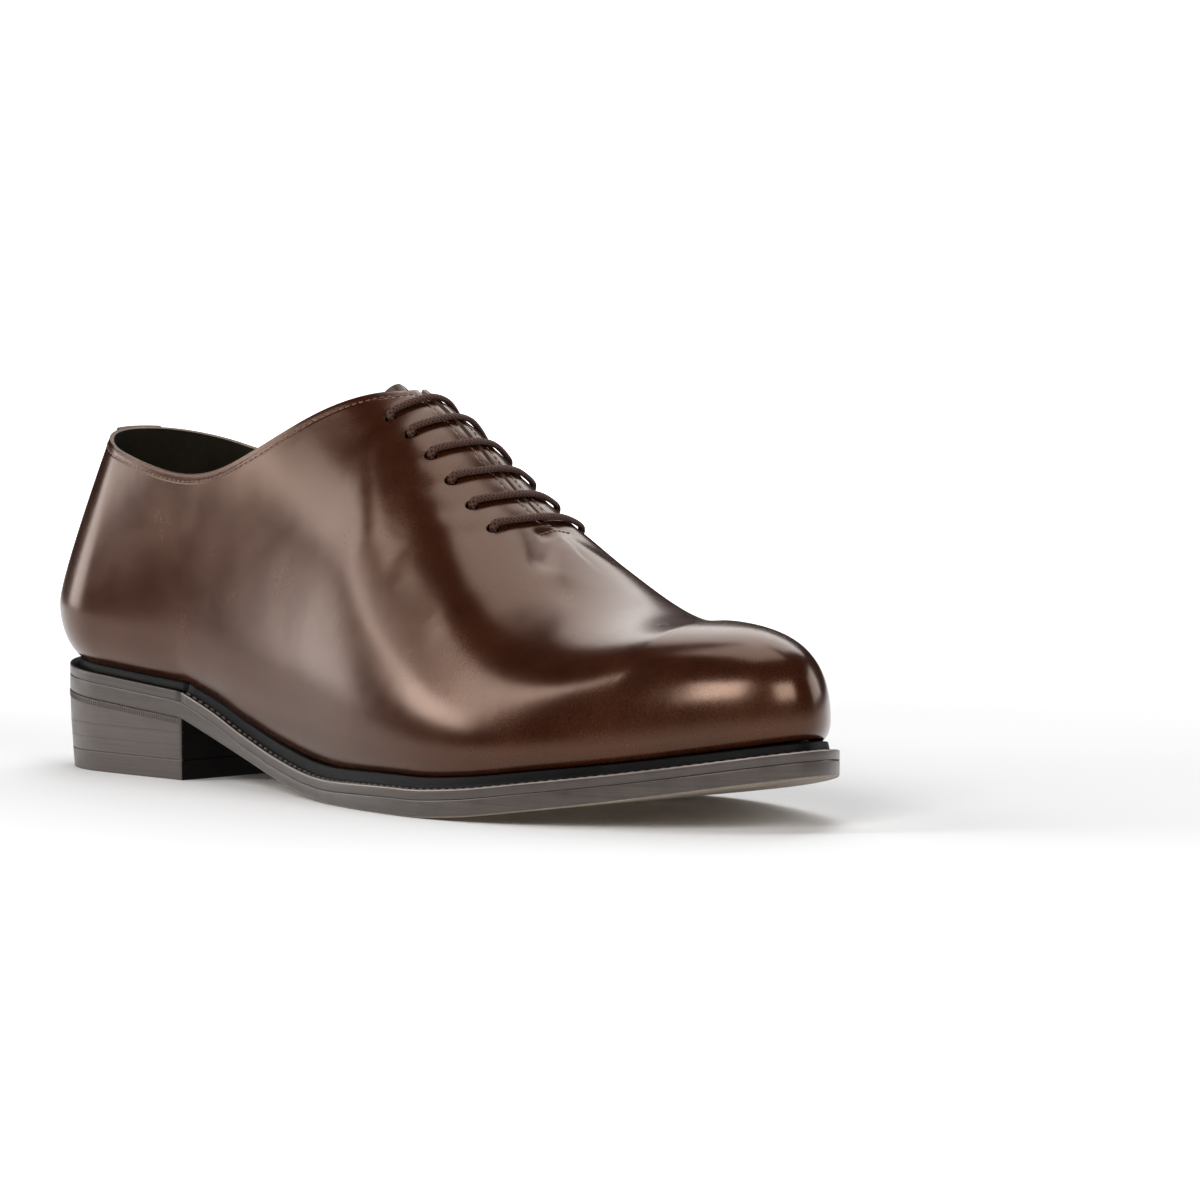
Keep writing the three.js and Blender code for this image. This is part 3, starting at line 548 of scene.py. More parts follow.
# %% Leather grain
leather_grain, _in, _out = group(
    "leather grain",
    [("Vector", "Vector", None), ("Cells per metre", "Float", 2600.0), ("Pull", "Float", 60.0)],
    [("Height", "Float"), ("Fine", "Float"), ("Slow", "Float")])
_t = leather_grain
_warp = add(_t, "TexNoise", Vector=_in.outputs["Vector"], Scale=900.0, Detail=2.0)
_bent = add(_t, "VectorMath", {"operation": "MULTIPLY_ADD"}, _0=_warp.outputs["Color"],
            _1=(0.0005, 0.0005, 0.0005), _2=_in.outputs["Vector"])
_cells = add(_t, "TexVoronoi", {"feature": "DISTANCE_TO_EDGE"}, Vector=_bent.outputs[0],
             Scale=_in.outputs["Cells per metre"])
_flat = fade(_t, _cells.outputs["Distance"], 0.0, 0.32)
_fine = add(_t, "TexNoise", Vector=_in.outputs["Vector"], Scale=1500.0, Detail=3.0, Roughness=0.7)
_slow = add(_t, "TexNoise", Vector=_in.outputs["Vector"], Scale=_in.outputs["Pull"], Detail=3.0,
            Roughness=0.55)
_sum = maths(_t, "MULTIPLY_ADD", _fine.outputs[0], 0.6, _flat)
_t.links.new(_sum, _out.inputs["Height"])
_t.links.new(_fine.outputs[0], _out.inputs["Fine"])
_t.links.new(_slow.outputs[0], _out.inputs["Slow"])

# %% [markdown]
# A trimmed edge of sole leather is filed, stained and ironed with wax, which leaves fine lines that run
# along it. The lines follow the piece's own UV map, where one unit is a metre along the edge.

# %% Brushed edge
brushed_edge, _in, _out = group(
    "brushed edge", [("Vector", "Vector", None)],
    [("Height", "Float"), ("Streak", "Float")])
_t = brushed_edge
_map = add(_t, "Mapping", Vector=_in.outputs["Vector"], Scale=(14.0, 900.0, 1.0))
_line = add(_t, "TexNoise", Vector=_map.outputs[0], Scale=1.0, Detail=3.0, Roughness=0.5)
_high = add(_t, "VectorMath", {"operation": "MULTIPLY"}, _0=_in.outputs["Vector"], _1=(26.0, 5200.0, 1.0))
_fine = add(_t, "TexNoise", Vector=_high.outputs[0], Scale=1.0, Detail=3.0, Roughness=0.7)
_t.links.new(_fine.outputs[0], _out.inputs["Height"])
_both = maths(_t, "MULTIPLY_ADD", _line.outputs[0], 0.4, maths(_t, "MULTIPLY", _fine.outputs[0], 0.6))
_t.links.new(_both, _out.inputs["Streak"])


# %% [markdown]
# The materials themselves are short: a colour mixed from the masks, a roughness, a bump and the shader.

# %% Material helper
def material(name, roughness=0.5, coat=0.0, coat_roughness=0.2, level=0.5, sheen=0.0):
    made = bpy.data.materials.new(name)
    made.use_nodes = True
    tree = made.node_tree
    shader = tree.nodes["Principled BSDF"]
    shader.inputs["Roughness"].default_value = roughness
    shader.inputs["Coat Weight"].default_value = coat
    shader.inputs["Coat Roughness"].default_value = coat_roughness
    shader.inputs["Specular IOR Level"].default_value = level
    shader.inputs["Sheen Weight"].default_value = sheen
    return made, tree, shader


def use_group(tree, shared, vector, **inputs):
    node = tree.nodes.new("ShaderNodeGroup")
    node.node_tree = shared
    tree.links.new(vector, node.inputs["Vector"])
    for key, value in inputs.items():
        node.inputs[key.replace("_", " ")].default_value = value
    return node


def ramp(tree, value, low, high, dark, light):
    spread = add(tree, "MapRange", Value=value, _1=low, _2=high)
    return blend(tree, "MIX", spread.outputs[0], (*dark, 1), (*light, 1))


def bump(tree, shader, height, strength, distance, under=None):
    node = add(tree, "Bump", Strength=strength, Distance=distance, Height=height)
    if under:
        tree.links.new(under.outputs[0], node.inputs["Normal"])
    tree.links.new(node.outputs[0], shader.inputs["Normal"])


# %% [markdown]
# The calf is a reddish mid brown. A row of thread is pulled into a shallow groove, so the bump dips in a
# band a few millimetres in from each cut edge, and the colour is darkened in that band as painted shade.

# %% Calf
STITCH_INSET, TURNED_EDGE = 2.3, 1.3


def calf(name, dark, light, gloss=1.0):
    made, tree, shader = material(name, 0.3, coat=0.2 * gloss, coat_roughness=0.2, level=0.3 + 0.4 * gloss)
    shader.inputs["Specular Tint"].default_value = (1, 0.68, 0.5, 1)
    place = object_place(tree)
    grain = use_group(tree, leather_grain, place)
    edge = add(tree, "Attribute", {"attribute_name": "edge_mm"}).outputs["Fac"]
    tone = ramp(tree, grain.outputs["Slow"], 0.3, 0.7, dark, light)
    speck = ramp(tree, grain.outputs["Fine"], 0.35, 0.65, (0.76, 0.74, 0.72), (1.15, 1.13, 1.12))
    colour = blend(tree, "MULTIPLY", 1.0, tone, speck)
    groove = band(tree, edge, STITCH_INSET - 0.35, STITCH_INSET + 0.35, 0.5)
    turned = fade(tree, edge, 0.0, TURNED_EDGE)
    # painted shade: the colour darkens in the stitched groove, where shade falls
    painted_groove_shade = maths(tree, "MULTIPLY", groove, 0.25)
    colour = blend(tree, "MIX", painted_groove_shade, colour, (*[v * 0.45 for v in dark], 1))
    tree.links.new(colour, shader.inputs["Base Color"])
    rough = add(tree, "MapRange", Value=grain.outputs["Slow"], _1=0.3, _2=0.7, _3=0.21, _4=0.27)
    less = maths(tree, "SUBTRACT", rough.outputs[0], 0.05)
    dry = maths(tree, "MULTIPLY_ADD", grain.outputs["Fine"], 0.1, less)
    tree.links.new(dry, shader.inputs["Roughness"])
    slow = add(tree, "Bump", Strength=0.12, Distance=0.001, Height=grain.outputs["Slow"])
    seam = maths(tree, "SUBTRACT", turned, groove)
    seams = add(tree, "Bump", Strength=0.35, Distance=0.0003, Height=seam, Normal=slow.outputs[0])
    bump(tree, shader, grain.outputs["Fine"], 0.06, 0.00012, seams)
    return made


calf_brown = calf("calf brown", (0.034, 0.0098, 0.0042), (0.05, 0.0152, 0.0066))
calf_tongue = calf("tongue calf", (0.024, 0.012, 0.008), (0.036, 0.018, 0.012), 0.4)

# %% [markdown]
# A cut edge of calf shows its fibre: paler, dry and a little hairy. The lining is a thin dark leather
# with hardly any gloss.

# %% Cut edge and lining
def dull_leather(name, dark, light, roughness, strength=0.3, sheen=0.0, cells=1500.0, level=0.35):
    made, tree, shader = material(name, roughness, level=level, sheen=sheen)
    place = object_place(tree)
    grain = use_group(tree, leather_grain, place, Cells_per_metre=cells, Pull=90.0)
    tone = ramp(tree, grain.outputs["Slow"], 0.3, 0.7, dark, light)
    speck = ramp(tree, grain.outputs["Fine"], 0.3, 0.7, (0.72, 0.72, 0.72), (1.15, 1.15, 1.15))
    tree.links.new(blend(tree, "MULTIPLY", 1.0, tone, speck), shader.inputs["Base Color"])
    bump(tree, shader, grain.outputs["Height"], strength, 0.00015)
    return made


cut_edge = dull_leather("cut edge of calf", (0.12, 0.08, 0.06), (0.2, 0.15, 0.12), 0.6, 0.2)
lining = dull_leather("lining leather", (0.018, 0.014, 0.008), (0.034, 0.026, 0.016), 0.55, 0.3, 0.05)
sock_leather = dull_leather("sock leather", (0.035, 0.02, 0.012), (0.07, 0.042, 0.028), 0.5, 0.3, 0.1)
sole_bottom = dull_leather("sole leather", (0.2, 0.16, 0.13), (0.3, 0.25, 0.2), 0.6, 0.4, 0.0, 900.0)


# %% [markdown]
# Sole edge, heel lifts and the rubber top piece carry the brushed lines, and the edge round the heel's
# seat has a few darker ones cut by the file. The welt is dyed black, and its thin lip on the outer
# corner is coloured pale as a painted highlight, for the light that the corner catches.

# %% Trimmed edges, welt and rubber
def trimmed_edge(name, dark, light, roughness, coat, strength=0.3, lines=0):
    made, tree, shader = material(name, roughness, coat=coat, coat_roughness=0.25)
    uv = add(tree, "UVMap").outputs[0]
    brushed = use_group(tree, brushed_edge, uv)
    place = object_place(tree)
    cloud = add(tree, "TexNoise", Vector=place, Scale=160.0, Detail=4.0, Roughness=0.6)
    tone = ramp(tree, brushed.outputs["Streak"], 0.38, 0.62, dark, light)
    worn = ramp(tree, cloud.outputs[0], 0.3, 0.7, (0.85, 0.84, 0.83), (1.1, 1.1, 1.1))
    if lines:
        height = add(tree, "SeparateXYZ", _0=uv).outputs[1]
        wave = maths(tree, "SINE", maths(tree, "MULTIPLY_ADD", height, 2 * math.pi * lines, cloud.outputs[0]))
        cut = maths(tree, "MULTIPLY", fade(tree, wave, 0.2, 0.9), 0.4)
        tone = blend(tree, "MIX", cut, tone, (*[v * 0.3 for v in dark], 1))
    tree.links.new(blend(tree, "MULTIPLY", 1.0, tone, worn), shader.inputs["Base Color"])
    rough = add(tree, "MapRange", Value=cloud.outputs[0], _1=0.3, _2=0.7, _3=roughness - 0.08,
                _4=roughness + 0.1)
    tree.links.new(rough.outputs[0], shader.inputs["Roughness"])
    bump(tree, shader, brushed.outputs["Height"], strength, 0.0001)
    return made


EDGE_STAIN = (0.056, 0.044, 0.037), (0.08, 0.063, 0.054)
sole_edge = trimmed_edge("sole edge", *EDGE_STAIN, 0.4, 0.25)
seat_edge = trimmed_edge("seat edge", *EDGE_STAIN, 0.4, 0.25, lines=1500)
heel_edge = trimmed_edge("heel edge", (0.074, 0.057, 0.049), (0.1, 0.08, 0.07), 0.45, 0.2)
rubber = trimmed_edge("heel rubber", (0.075, 0.06, 0.052), (0.098, 0.08, 0.071), 0.5, 0.1, 0.3)
welt_black = dull_leather("welt black", (0.003, 0.0025, 0.0025), (0.007, 0.0055, 0.005), 0.45, 0.25,
                          cells=1800.0, level=0.15)
# painted highlight: the lip is coloured pale for the light that its chamfer catches
welt_lip_highlight = trimmed_edge("welt lip highlight", (0.16, 0.135, 0.12), (0.42, 0.36, 0.33), 0.38, 0.3, 0.2)


# %% [markdown]
# Thread is twisted, so its bump is a diagonal wave. The lace is braided: two waves cross in its UV map,
# where u runs along in millimetres and v goes once round.

# %% Thread and lace
def thread(name, dark, light):
    made, tree, shader = material(name, 0.55, level=0.4, sheen=0.2)
    place = object_place(tree)
    fuzz = add(tree, "TexNoise", Vector=place, Scale=1500.0, Detail=3.0)
    tree.links.new(ramp(tree, fuzz.outputs[0], 0.35, 0.65, dark, light), shader.inputs["Base Color"])
    twist = add(tree, "TexWave", {"wave_type": "BANDS", "bands_direction": "DIAGONAL"}, Vector=place,
                Scale=900.0, Distortion=1.0)
    bump(tree, shader, twist.outputs["Fac"], 0.4, 0.0001)
    return made


def braid(name, dark, light):
    made, tree, shader = material(name, 0.6, level=0.25, sheen=0.05)
    uv = add(tree, "SeparateXYZ", _0=add(tree, "UVMap").outputs[0])
    along, around = uv.outputs[0], uv.outputs[1]
    turns = maths(tree, "MULTIPLY", around, 2 * math.pi * 4)
    waves = []
    for way in (1, -1):
        phase = maths(tree, "MULTIPLY_ADD", along, way * 5.2, turns)
        waves.append(maths(tree, "SINE", phase))
    over = maths(tree, "MAXIMUM", waves[0], waves[1])
    strand = add(tree, "MapRange", Value=over, _1=-0.6, _2=1.0)
    place = object_place(tree)
    fuzz = add(tree, "TexNoise", Vector=place, Scale=2600.0, Detail=3.0)
    # painted shade: the braid's colour darkens between the strands, where the two waves are low
    tone = ramp(tree, strand.outputs[0], 0.1, 0.9, dark, light)
    speck = ramp(tree, fuzz.outputs[0], 0.35, 0.65, (0.75, 0.75, 0.75), (1.15, 1.15, 1.15))
    tree.links.new(blend(tree, "MULTIPLY", 1.0, tone, speck), shader.inputs["Base Color"])
    height = maths(tree, "MULTIPLY_ADD", fuzz.outputs[0], 0.3, strand.outputs[0])
    bump(tree, shader, height, 0.8, 0.00025)
    return made


pale_thread = thread("pale thread", (0.05, 0.042, 0.036), (0.16, 0.135, 0.12))
brown_thread = thread("brown thread", (0.1, 0.045, 0.03), (0.22, 0.11, 0.08))
lace_braid = braid("lace braid", (0.013, 0.006, 0.004), (0.1, 0.041, 0.027))

# %% [markdown]
# ## The upper
# Leather pulled over a last is smooth, but never perfect: it dimples beyond the end of the throat,
# hollows a little where the lace presses, and sags softly at the quarter. These are listed as
# soft troughs and ridges, each a line on the shoe with a width and a depth in millimetres.

# %% Creases listed one by one
BORE, LACE = 4, 2.3
LOWEST_EYELET, TOP_EYELET, TOP_ROW = (0.618, 16.6), (0.467, 13.4), 5


def eyelet(row):
    """Share of the length and distance from the crest, from the lowest row 0 up to TOP_ROW."""
    return [low + (high - low) * row / TOP_ROW for low, high in zip(LOWEST_EYELET, TOP_EYELET)]


EYELETS = [eyelet(row) for row in range(TOP_ROW + 1)]

# side, from (x, distance from the crest), to, half width, depth; a minus depth is a trough
CREASES = [
    (OUTER, (194, 5), (201, 13), 3.6, -0.75),
    (OUTER, (192.6, -6), (192.6, 6), 1.1, -0.5),
    (OUTER, (200, 3), (206, 12), 6.0, 0.35),
    (INNER, (192, 4), (199, 13), 4.5, -0.6),
    (OUTER, (186, 22), (205, 30), 7.0, -0.35),
    (OUTER, (176, 25), (190, 36), 6.0, 0.3),
    (OUTER, (150, 22), (166, 34), 5.0, -0.3),
    (OUTER, (140, 20), (152, 34), 5.0, 0.22),
    (INNER, (150, 22), (166, 34), 5.0, -0.3),
]
for _side in (OUTER, INNER):
    for _share, _inset in EYELETS:
        _x = _share * LENGTH
        CREASES.append((_side, (_x + 2, 2.5), (_x, _inset - 3), 1.9, -0.26))
        CREASES.append((_side, (_x - 1, _inset + 2), (_x - 3, _inset + 6), 2.2, -0.16))


def crease_height(side, x, distance):
    total = 0.0
    for its_side, start, end, width, depth in CREASES:
        if its_side != side or abs(x - start[0]) > 45:
            continue
        ax, ay = end[0] - start[0], end[1] - start[1]
        t = ((x - start[0]) * ax + (distance - start[1]) * ay) / (ax * ax + ay * ay)
        t = min(max(t, 0), 1)
        away = math.hypot(x - start[0] - ax * t, distance - start[1] - ay * t) / width
        if away < 3:
            total += depth * math.exp(-away * away)
    return total


# %% [markdown]
# Each side is one carried grid, fine in the throat and coarser elsewhere. The two meet along the back,
# the toe and the ridge of the vamp, where close places merge. The faces inside each eyelet are deleted
# and the rim of each hole is pulled onto a circle.

# %% Upper sheet
SHOWN_WALL = 1.25
SPANS = [(0.2375, 14), (0.385, 22), (THROAT_TOP, 24), (THROAT_BASE, 60), (TOE_CENTRE, 46)]
ROWS = 74
upper_bm = bmesh.new()
edge_line = {}
for _side in (OUTER, INNER):
    _stations = walk(_side, 30, SPANS, 40)
    _tops = [top_level(s) for s in _stations]
    _last = next(i for i, s in enumerate(_stations) if s.share >= THROAT_BASE - 1e-6)
    edge_line[_side] = [s.skin(t) for s, t in zip(_stations[:_last + 1], _tops)]

    def _point(i, j, stations=_stations, tops=_tops):
        v = j / ROWS
        return stations[i].skin(tops[i] * (1.45 * v - 0.45 * v * v))
    carried_grid(upper_bm, len(_stations) - 1, ROWS, _point)
close_seams(upper_bm)
face_outwards(upper_bm, metres((150, 0, 45)))

eyelet_frames = []
for _side in (OUTER, INNER):
    for _share, _inset in EYELETS:
        _point, _normal = on_throat(_side, _share, _inset)
        eyelet_frames.append((metres(_point), _normal))


def cut_hole(bm, middle, normal, radius):
    near = [f for f in bm.faces if (f.calc_center_median() - middle).length < radius]
    bmesh.ops.delete(bm, geom=near, context="FACES")
    rim = {v for e in bm.edges if e.is_boundary for v in e.verts
           if (v.co - middle).length < radius * 1.6}
    for v in rim:
        away = v.co - middle
        depth = away.dot(normal)
        flat = away - normal * depth
        v.co = middle + normal * depth + flat.normalized() * radius
    ring = {f for v in rim for f in v.link_faces}
    around = {v for f in ring for v in f.verts} - rim
    bmesh.ops.smooth_vert(bm, verts=list(around), factor=0.5, use_axis_x=True, use_axis_y=True,
                          use_axis_z=True)


for _middle, _normal in eyelet_frames:
    cut_hole(upper_bm, _middle, _normal, BORE / 2000)
upper_bm.normal_update()

# %% [markdown]
# The creases move each point along its own normal. One attribute travels with the mesh for the
# material: the distance to the nearest cut edge, which places the stitched groove and the turned edge.

# %% Creases and edge distances
_tree = KDTree(sum(len(line) for line in edge_line.values()))
for _n, _p in enumerate(p for line in edge_line.values() for p in line):
    _tree.insert(metres(_p), _n)
_tree.balance()
_edge_mm = upper_bm.verts.layers.float.new("edge_mm")
for _v in upper_bm.verts:
    _v[_edge_mm] = _tree.find(_v.co)[2] * 1000
    _p = from_frame(_v.co)
    _share = _p.x / LENGTH
    if 0.42 < _share < 0.75:
        _across = abs(_p.y - crest_shift(_share))
        _side = OUTER if _p.y < crest_shift(_share) else INNER
        _v.co += _v.normal * crease_height(_side, _p.x, _across) / 1000
upper_bm.normal_update()
skin_tree = BVHTree.FromBMesh(upper_bm)
upper = piece("upper_calf", upper_bm, [calf_brown, lining, cut_edge], ["upper"])
solidify(upper, SHOWN_WALL)
round_edges(upper, 0.28)

# %% [markdown]
# ## Welt and sole
# The sole is a plate with a filed edge. Its section is swept along the stations: up from the middle of
# the underside, round the edge, and back over the top. Heights are measured at each point's own x, so
# the plate follows the toe spring and the arch.

# %% A plate swept from the middle, round its edge, and back
SOLE_SPANS = [(0.2375, 12), (0.385, 18), (THROAT_TOP, 10), (THROAT_BASE, 24), (TOE_CENTRE, 34)]


def plate_side(bm, stations, profile, mids):
    """profile: (inset, height function) round the edge; mids: lowest and highest height functions."""
    rows, last = len(profile) + 1, len(stations) - 1
    lengths = lengths_along([station.edge for station in stations])

    def point(i, j):
        station = stations[i]
        if j in (0, rows):
            x = station.plan(profile[0][0]).x
            return (x, 0, mids[0 if j == 0 else 1](x))
        inset, height = profile[j - 1]
        p = station.plan(inset)
        return (p.x, p.y, height(p.x))
    made = carried_grid(bm, last, rows, point)
    lay_uv(bm, made, lambda u, v, loop: (lengths[round(u * last)] / 1000, loop.vert.co.z))


def lifted(height, by):
    return lambda x: height(x) + by


outsole_bm = bmesh.new()
for _side in (OUTER, INNER):
    _stations = walk(_side, 18, SOLE_SPANS, 26)
    _profile = [(3, sole_under), (0.9, sole_under), (0.45, lifted(sole_under, 0.1)),
                (0.15, lifted(sole_under, 0.35)), (0, lifted(sole_under, 0.8)),
                (0, lifted(sole_under, 2)), (0, lifted(sole_top, -0.5)), (0.08, lifted(sole_top, -0.15)),
                (0.3, sole_top), (3, sole_top)]
    plate_side(outsole_bm, _stations, _profile, (sole_under, sole_top))
close_seams(outsole_bm)
face_outwards(outsole_bm)
for _face in outsole_bm.faces:
    if _face.normal.z < -0.7 and _face.calc_center_median().z < 0.03:
        _face.material_index = 1
piece("outsole_leather", outsole_bm, [sole_edge, sole_bottom], ["outsole"])

# %% [markdown]
# The welt is a strip: its section goes round a closed loop, with a bead inside, a shallow groove for
# the thread, and a thin lip on the outer corner. The seat rand carries the same section round the heel,
# and its two ends meet the welt at the heel's breast.

# %% Welt and seat rand
WELT_SECTION = [
    (8, sole_top, 0.03), (0.05, sole_top, 0.03), (0, sole_top, 0.1),
    (0, shelf, -LIP - 0.45), (0, shelf, -0.35), (0.08, shelf, -0.1), (0.4, shelf, 0.02),
    (1.0, shelf, -0.02), (1.25, shelf, -0.2), (1.7, shelf, -0.25), (2.2, shelf, -0.1), (2.6, shelf, 0.15),
    (2.82, shelf, 1), (3.1, rib_top, -0.5), (3.25, rib_top, -0.1), (3.6, rib_top, 0), (8, rib_top, 0),
]
SIDE_ROWS, LIP_ROWS = (1, 2, 3), (4, 5)
SECTION_ROUND = 0.016


def strip(bm, stations):
    loop_rows, last = len(WELT_SECTION), len(stations) - 1
    lengths = lengths_along([station.edge for station in stations])

    def point(i, j):
        inset, base, by = WELT_SECTION[j % loop_rows]
        p = stations[i].plan(inset)
        return (p.x, p.y, base(p.x) + by)
    made = carried_grid(bm, last, loop_rows, point)
    uv = bm.loops.layers.uv.verify()
    for face in {f for v in made for f in v.link_faces}:
        row = round(min(loop[uv].uv[1] for loop in face.loops) * loop_rows)
        face.material_index = 2 if row in SIDE_ROWS else 1 if row in LIP_ROWS else 0
    lay_uv(bm, made, lambda u, v, loop: (lengths[round(u * last)] / 1000, v * SECTION_ROUND))


def closed_strip(name, stations, node, lip, side):
    bm = bmesh.new()
    strip(bm, stations)
    close_seams(bm)
    bmesh.ops.holes_fill(bm, edges=[e for e in bm.edges if e.is_boundary], sides=0)
    bmesh.ops.recalc_face_normals(bm, faces=bm.faces)
    return piece(name, bm, [welt_black, lip, side], [node])


_outer = walk(OUTER, 18, SOLE_SPANS, 26)
_inner = walk(INNER, 18, SOLE_SPANS, 26)
BREAST = 18 + 12
welt_stations = _outer[BREAST:] + _inner[BREAST:-1][::-1]
closed_strip("welt_strip", welt_stations, "welt", welt_lip_highlight, sole_edge)
closed_strip("seat_rand", _inner[1:BREAST + 1][::-1] + _outer[:BREAST + 1], "heel_seat_rand",
             seat_edge, seat_edge)

# %% [markdown]
# Inside, a leather insole fills the well between the welts and shows as the sock when you look down
# into the shoe.

# %% Insole
SOCK_RISE = 6.9
insole_bm = bmesh.new()
_base = lifted(sole_top, GAP)
_over = lifted(sole_top, GAP + SOCK_RISE)
for _side in (OUTER, INNER):
    _profile = [(8.3, _base), (8.3, lifted(_over, -0.5)), (8.5, lifted(_over, -0.12)),
                (9, _over), (14, _over)]
    plate_side(insole_bm, walk(_side, 14, SOLE_SPANS, 18), _profile, (_base, _over))
close_seams(insole_bm)
face_outwards(insole_bm)
piece("insole_sock", insole_bm, [sock_leather], ["insole"])

# %% [markdown]
# ## Stitches
# A stitch is a short plump sausage that dives into the leather at both ends. Each row here is a path
# on the skin, cut into equal steps, with one low ball stretched along every step. All stitches of a
# row are one mesh.

# %% Places along a path, and stitches on it
def find_along(path, places):
    """For each place along the path, the segment that holds it and how far through that segment it is."""
    lengths, here = lengths_along(path), 0
    for at in places:
        while here < len(path) - 2 and lengths[here + 1] < at:
            here += 1
        yield here, (at - lengths[here]) / max(lengths[here + 1] - lengths[here], 1e-9)


def stitch_row(bm, path, normals, pitch, length, width, height):
    """Stitches at an even pitch along a path, each with a length, a width and a height in millimetres."""
    total = lengths_along(path)[-1]
    count = max(1, round(total / pitch))
    for here, t in find_along(path, [(n + 0.5) * total / count for n in range(count)]):
        middle = path[here].lerp(path[here + 1], t)
        normal = normals[here].lerp(normals[here + 1], t).normalized()
        along = (path[here + 1] - path[here]).normalized()
        across = normal.cross(along).normalized()
        normal = along.cross(across)
        turn = Matrix((along * length / 2, across * width / 2, normal * height / 2)).transposed().to_4x4()
        bmesh.ops.create_uvsphere(bm, u_segments=8, v_segments=6, radius=0.001,
                                  matrix=Matrix.Translation(metres(middle)) @ turn)
    return count


def even_path(points, pitch):
    """The same path cut into even steps."""
    total = lengths_along(points)[-1]
    steps = max(2, round(total / pitch))
    return [points[here].lerp(points[here + 1], t)
            for here, t in find_along(points, [total * n / steps for n in range(steps + 1)])]


def on_leather(points):
    """The nearest places on the upper's skin, with the way out from it."""
    found = [skin_tree.find_nearest(metres(p)) for p in points]
    return [from_frame(hit[0]) for hit in found], [hit[1] for hit in found]


# %% [markdown]
# ## The heel
# A heel is a stack of leather lifts over a rubber top piece. Each layer is a plate like the sole, but
# its outline turns a small corner at the breast and runs back to the middle. Tiny chamfers between
# the layers make the fine dark lines that you see on a real stack. The breast, the flat front of the
# heel, takes the welt's black as painted shade, for the shadow that falls under the arch.

# %% Heel layers
HEEL_CORNER, HEEL_TAPER = 1.6, 1.2
# the rubber's height and one lift's, the number of lifts, and the fine joints over rubber and lift
RUBBER, LIFT, LIFTS, RUBBER_JOINT, LIFT_JOINT = 6, 4, 3, 0.03, 0.02


def heel_stations(side):
    stations = [heel_station(side, 1 - i / 20) for i in range(20)]
    stop = (HEEL_LENGTH - HEEL_CORNER) / LENGTH
    stations += [cross_station(side, HEEL_CENTRE + (stop - HEEL_CENTRE) * i / 12) for i in range(13)]
    corner = stations[-1]
    centre = corner.plan(HEEL_CORNER)
    for step in range(1, 7):
        angle = math.radians(15 * step)
        out = -corner.inward * math.cos(angle) + Vector((1, 0)) * math.sin(angle)
        stations.append(Station(side, centre + out * HEEL_CORNER, -out, HEEL_CENTRE))
    for step in range(1, 9):
        y = centre.y * (1 - step / 8)
        stations.append(Station(side, (HEEL_LENGTH, y), (-1, 0), HEEL_CENTRE))
    return stations


def heel_layer(name, node, finish, under, over, groove=0.04):
    bm = bmesh.new()

    def inset(height):
        return HEEL_TAPER * (1 - height / HEEL_HEIGHT)
    lowest, highest = under(HEEL_LENGTH), over(HEEL_LENGTH)
    a, b = inset(lowest), inset(highest)
    profile = [(a + 3, under), (a + groove, under), (a, lifted(under, groove)),
               (a, lifted(under, 3 * groove)), (b, lifted(over, -3 * groove)), (b, lifted(over, -groove)),
               (b + groove, over), (b + 3, over)]
    for side in (OUTER, INNER):
        plate_side(bm, heel_stations(side), profile, (under, over))
    close_seams(bm)
    face_outwards(bm)
    # painted shade: the breast's faces take the welt's black, for the shadow under the arch
    for face in bm.faces:
        face.material_index = 1 if face.normal.x > 0.7 else 0
    return piece(name, bm, [finish, welt_black], [node])


heel_layer("heel_rubber", "heel_top_piece", rubber, lambda x: 0.0,
           lambda x: RUBBER - RUBBER_JOINT, 0.2)
for _i in range(LIFTS):
    _floor = RUBBER + LIFT * _i
    _ceiling = _floor + LIFT - LIFT_JOINT
    _roof = lifted(sole_under, -LIFT_JOINT) if _i == LIFTS - 1 else (lambda x, z=_ceiling: z)
    heel_layer("heel_stack_%d" % (_i + 1), "heel_lift_%d" % (_i + 1), heel_edge,
               lambda x, z=_floor: float(z), _roof)

# %% [markdown]
# A small heated wheel is run along the joint between the sole and the heel. It presses a row of short
# upright marks that hide the joint, and each one here is a thin ridge standing on the edge.

# %% Wheel marks along the heel's joint
# pitch, length along the row, width across it and height of one mark, then how far below the sole it sits
WHEEL_MARK, MARK_DROP = (0.95, 0.42, 1.9, 0.22), 0.9
marks_bm = bmesh.new()
_marks = 0
for _side in (OUTER, INNER):
    _to_corner = heel_stations(_side)[:34]
    _points = [Vector((s.edge.x, s.edge.y, sole_under(s.edge.x) - MARK_DROP)) for s in _to_corner]
    _path = even_path(_points, 1)
    _ways = []
    for _n, _p in enumerate(_path):
        _along = _path[min(_n + 1, len(_path) - 1)] - _path[max(_n - 1, 0)]
        _ways.append(_along.cross(Vector((0, 0, 1))).normalized() * -_side)
    _marks += stitch_row(marks_bm, _path, _ways, *WHEEL_MARK)
print(_marks, "wheel marks")
piece("heel_wheel_marks", marks_bm, [heel_edge], ())

# %% [markdown]
# ## Tongue and backstrap
# The tongue is a soft strip under the facings: it shows in the slit and stands a little above the
# throat. The backstrap is a patch of the same calf over the top of the back seam. Both are sheets cut
# from the last's own surface and then given a thickness.

# %% Tongue
tongue_width = steady([(0.436, 9.6), (0.444, 15.84), (0.457, 20.64), (0.475, 23.04), (0.54, 24),
                       (0.61, 23.52), (0.66, 20.64)])
tongue_lift = steady([(0.436, 2.2), (0.444, 1.5), (0.457, 0.6), (0.475, 0), (0.54, 0), (0.61, 0), (0.66, 0)])
tongue_shares = [0.436 + 0.0015 * i for i in range(10)] + [0.451 + (0.66 - 0.451) * i / 44 for i in range(45)]


# room for the lace's hidden runs between the facings and the tongue, and the tongue's thickness
UNDER_LACE, TONGUE_THICKNESS = 2.9, 2.4


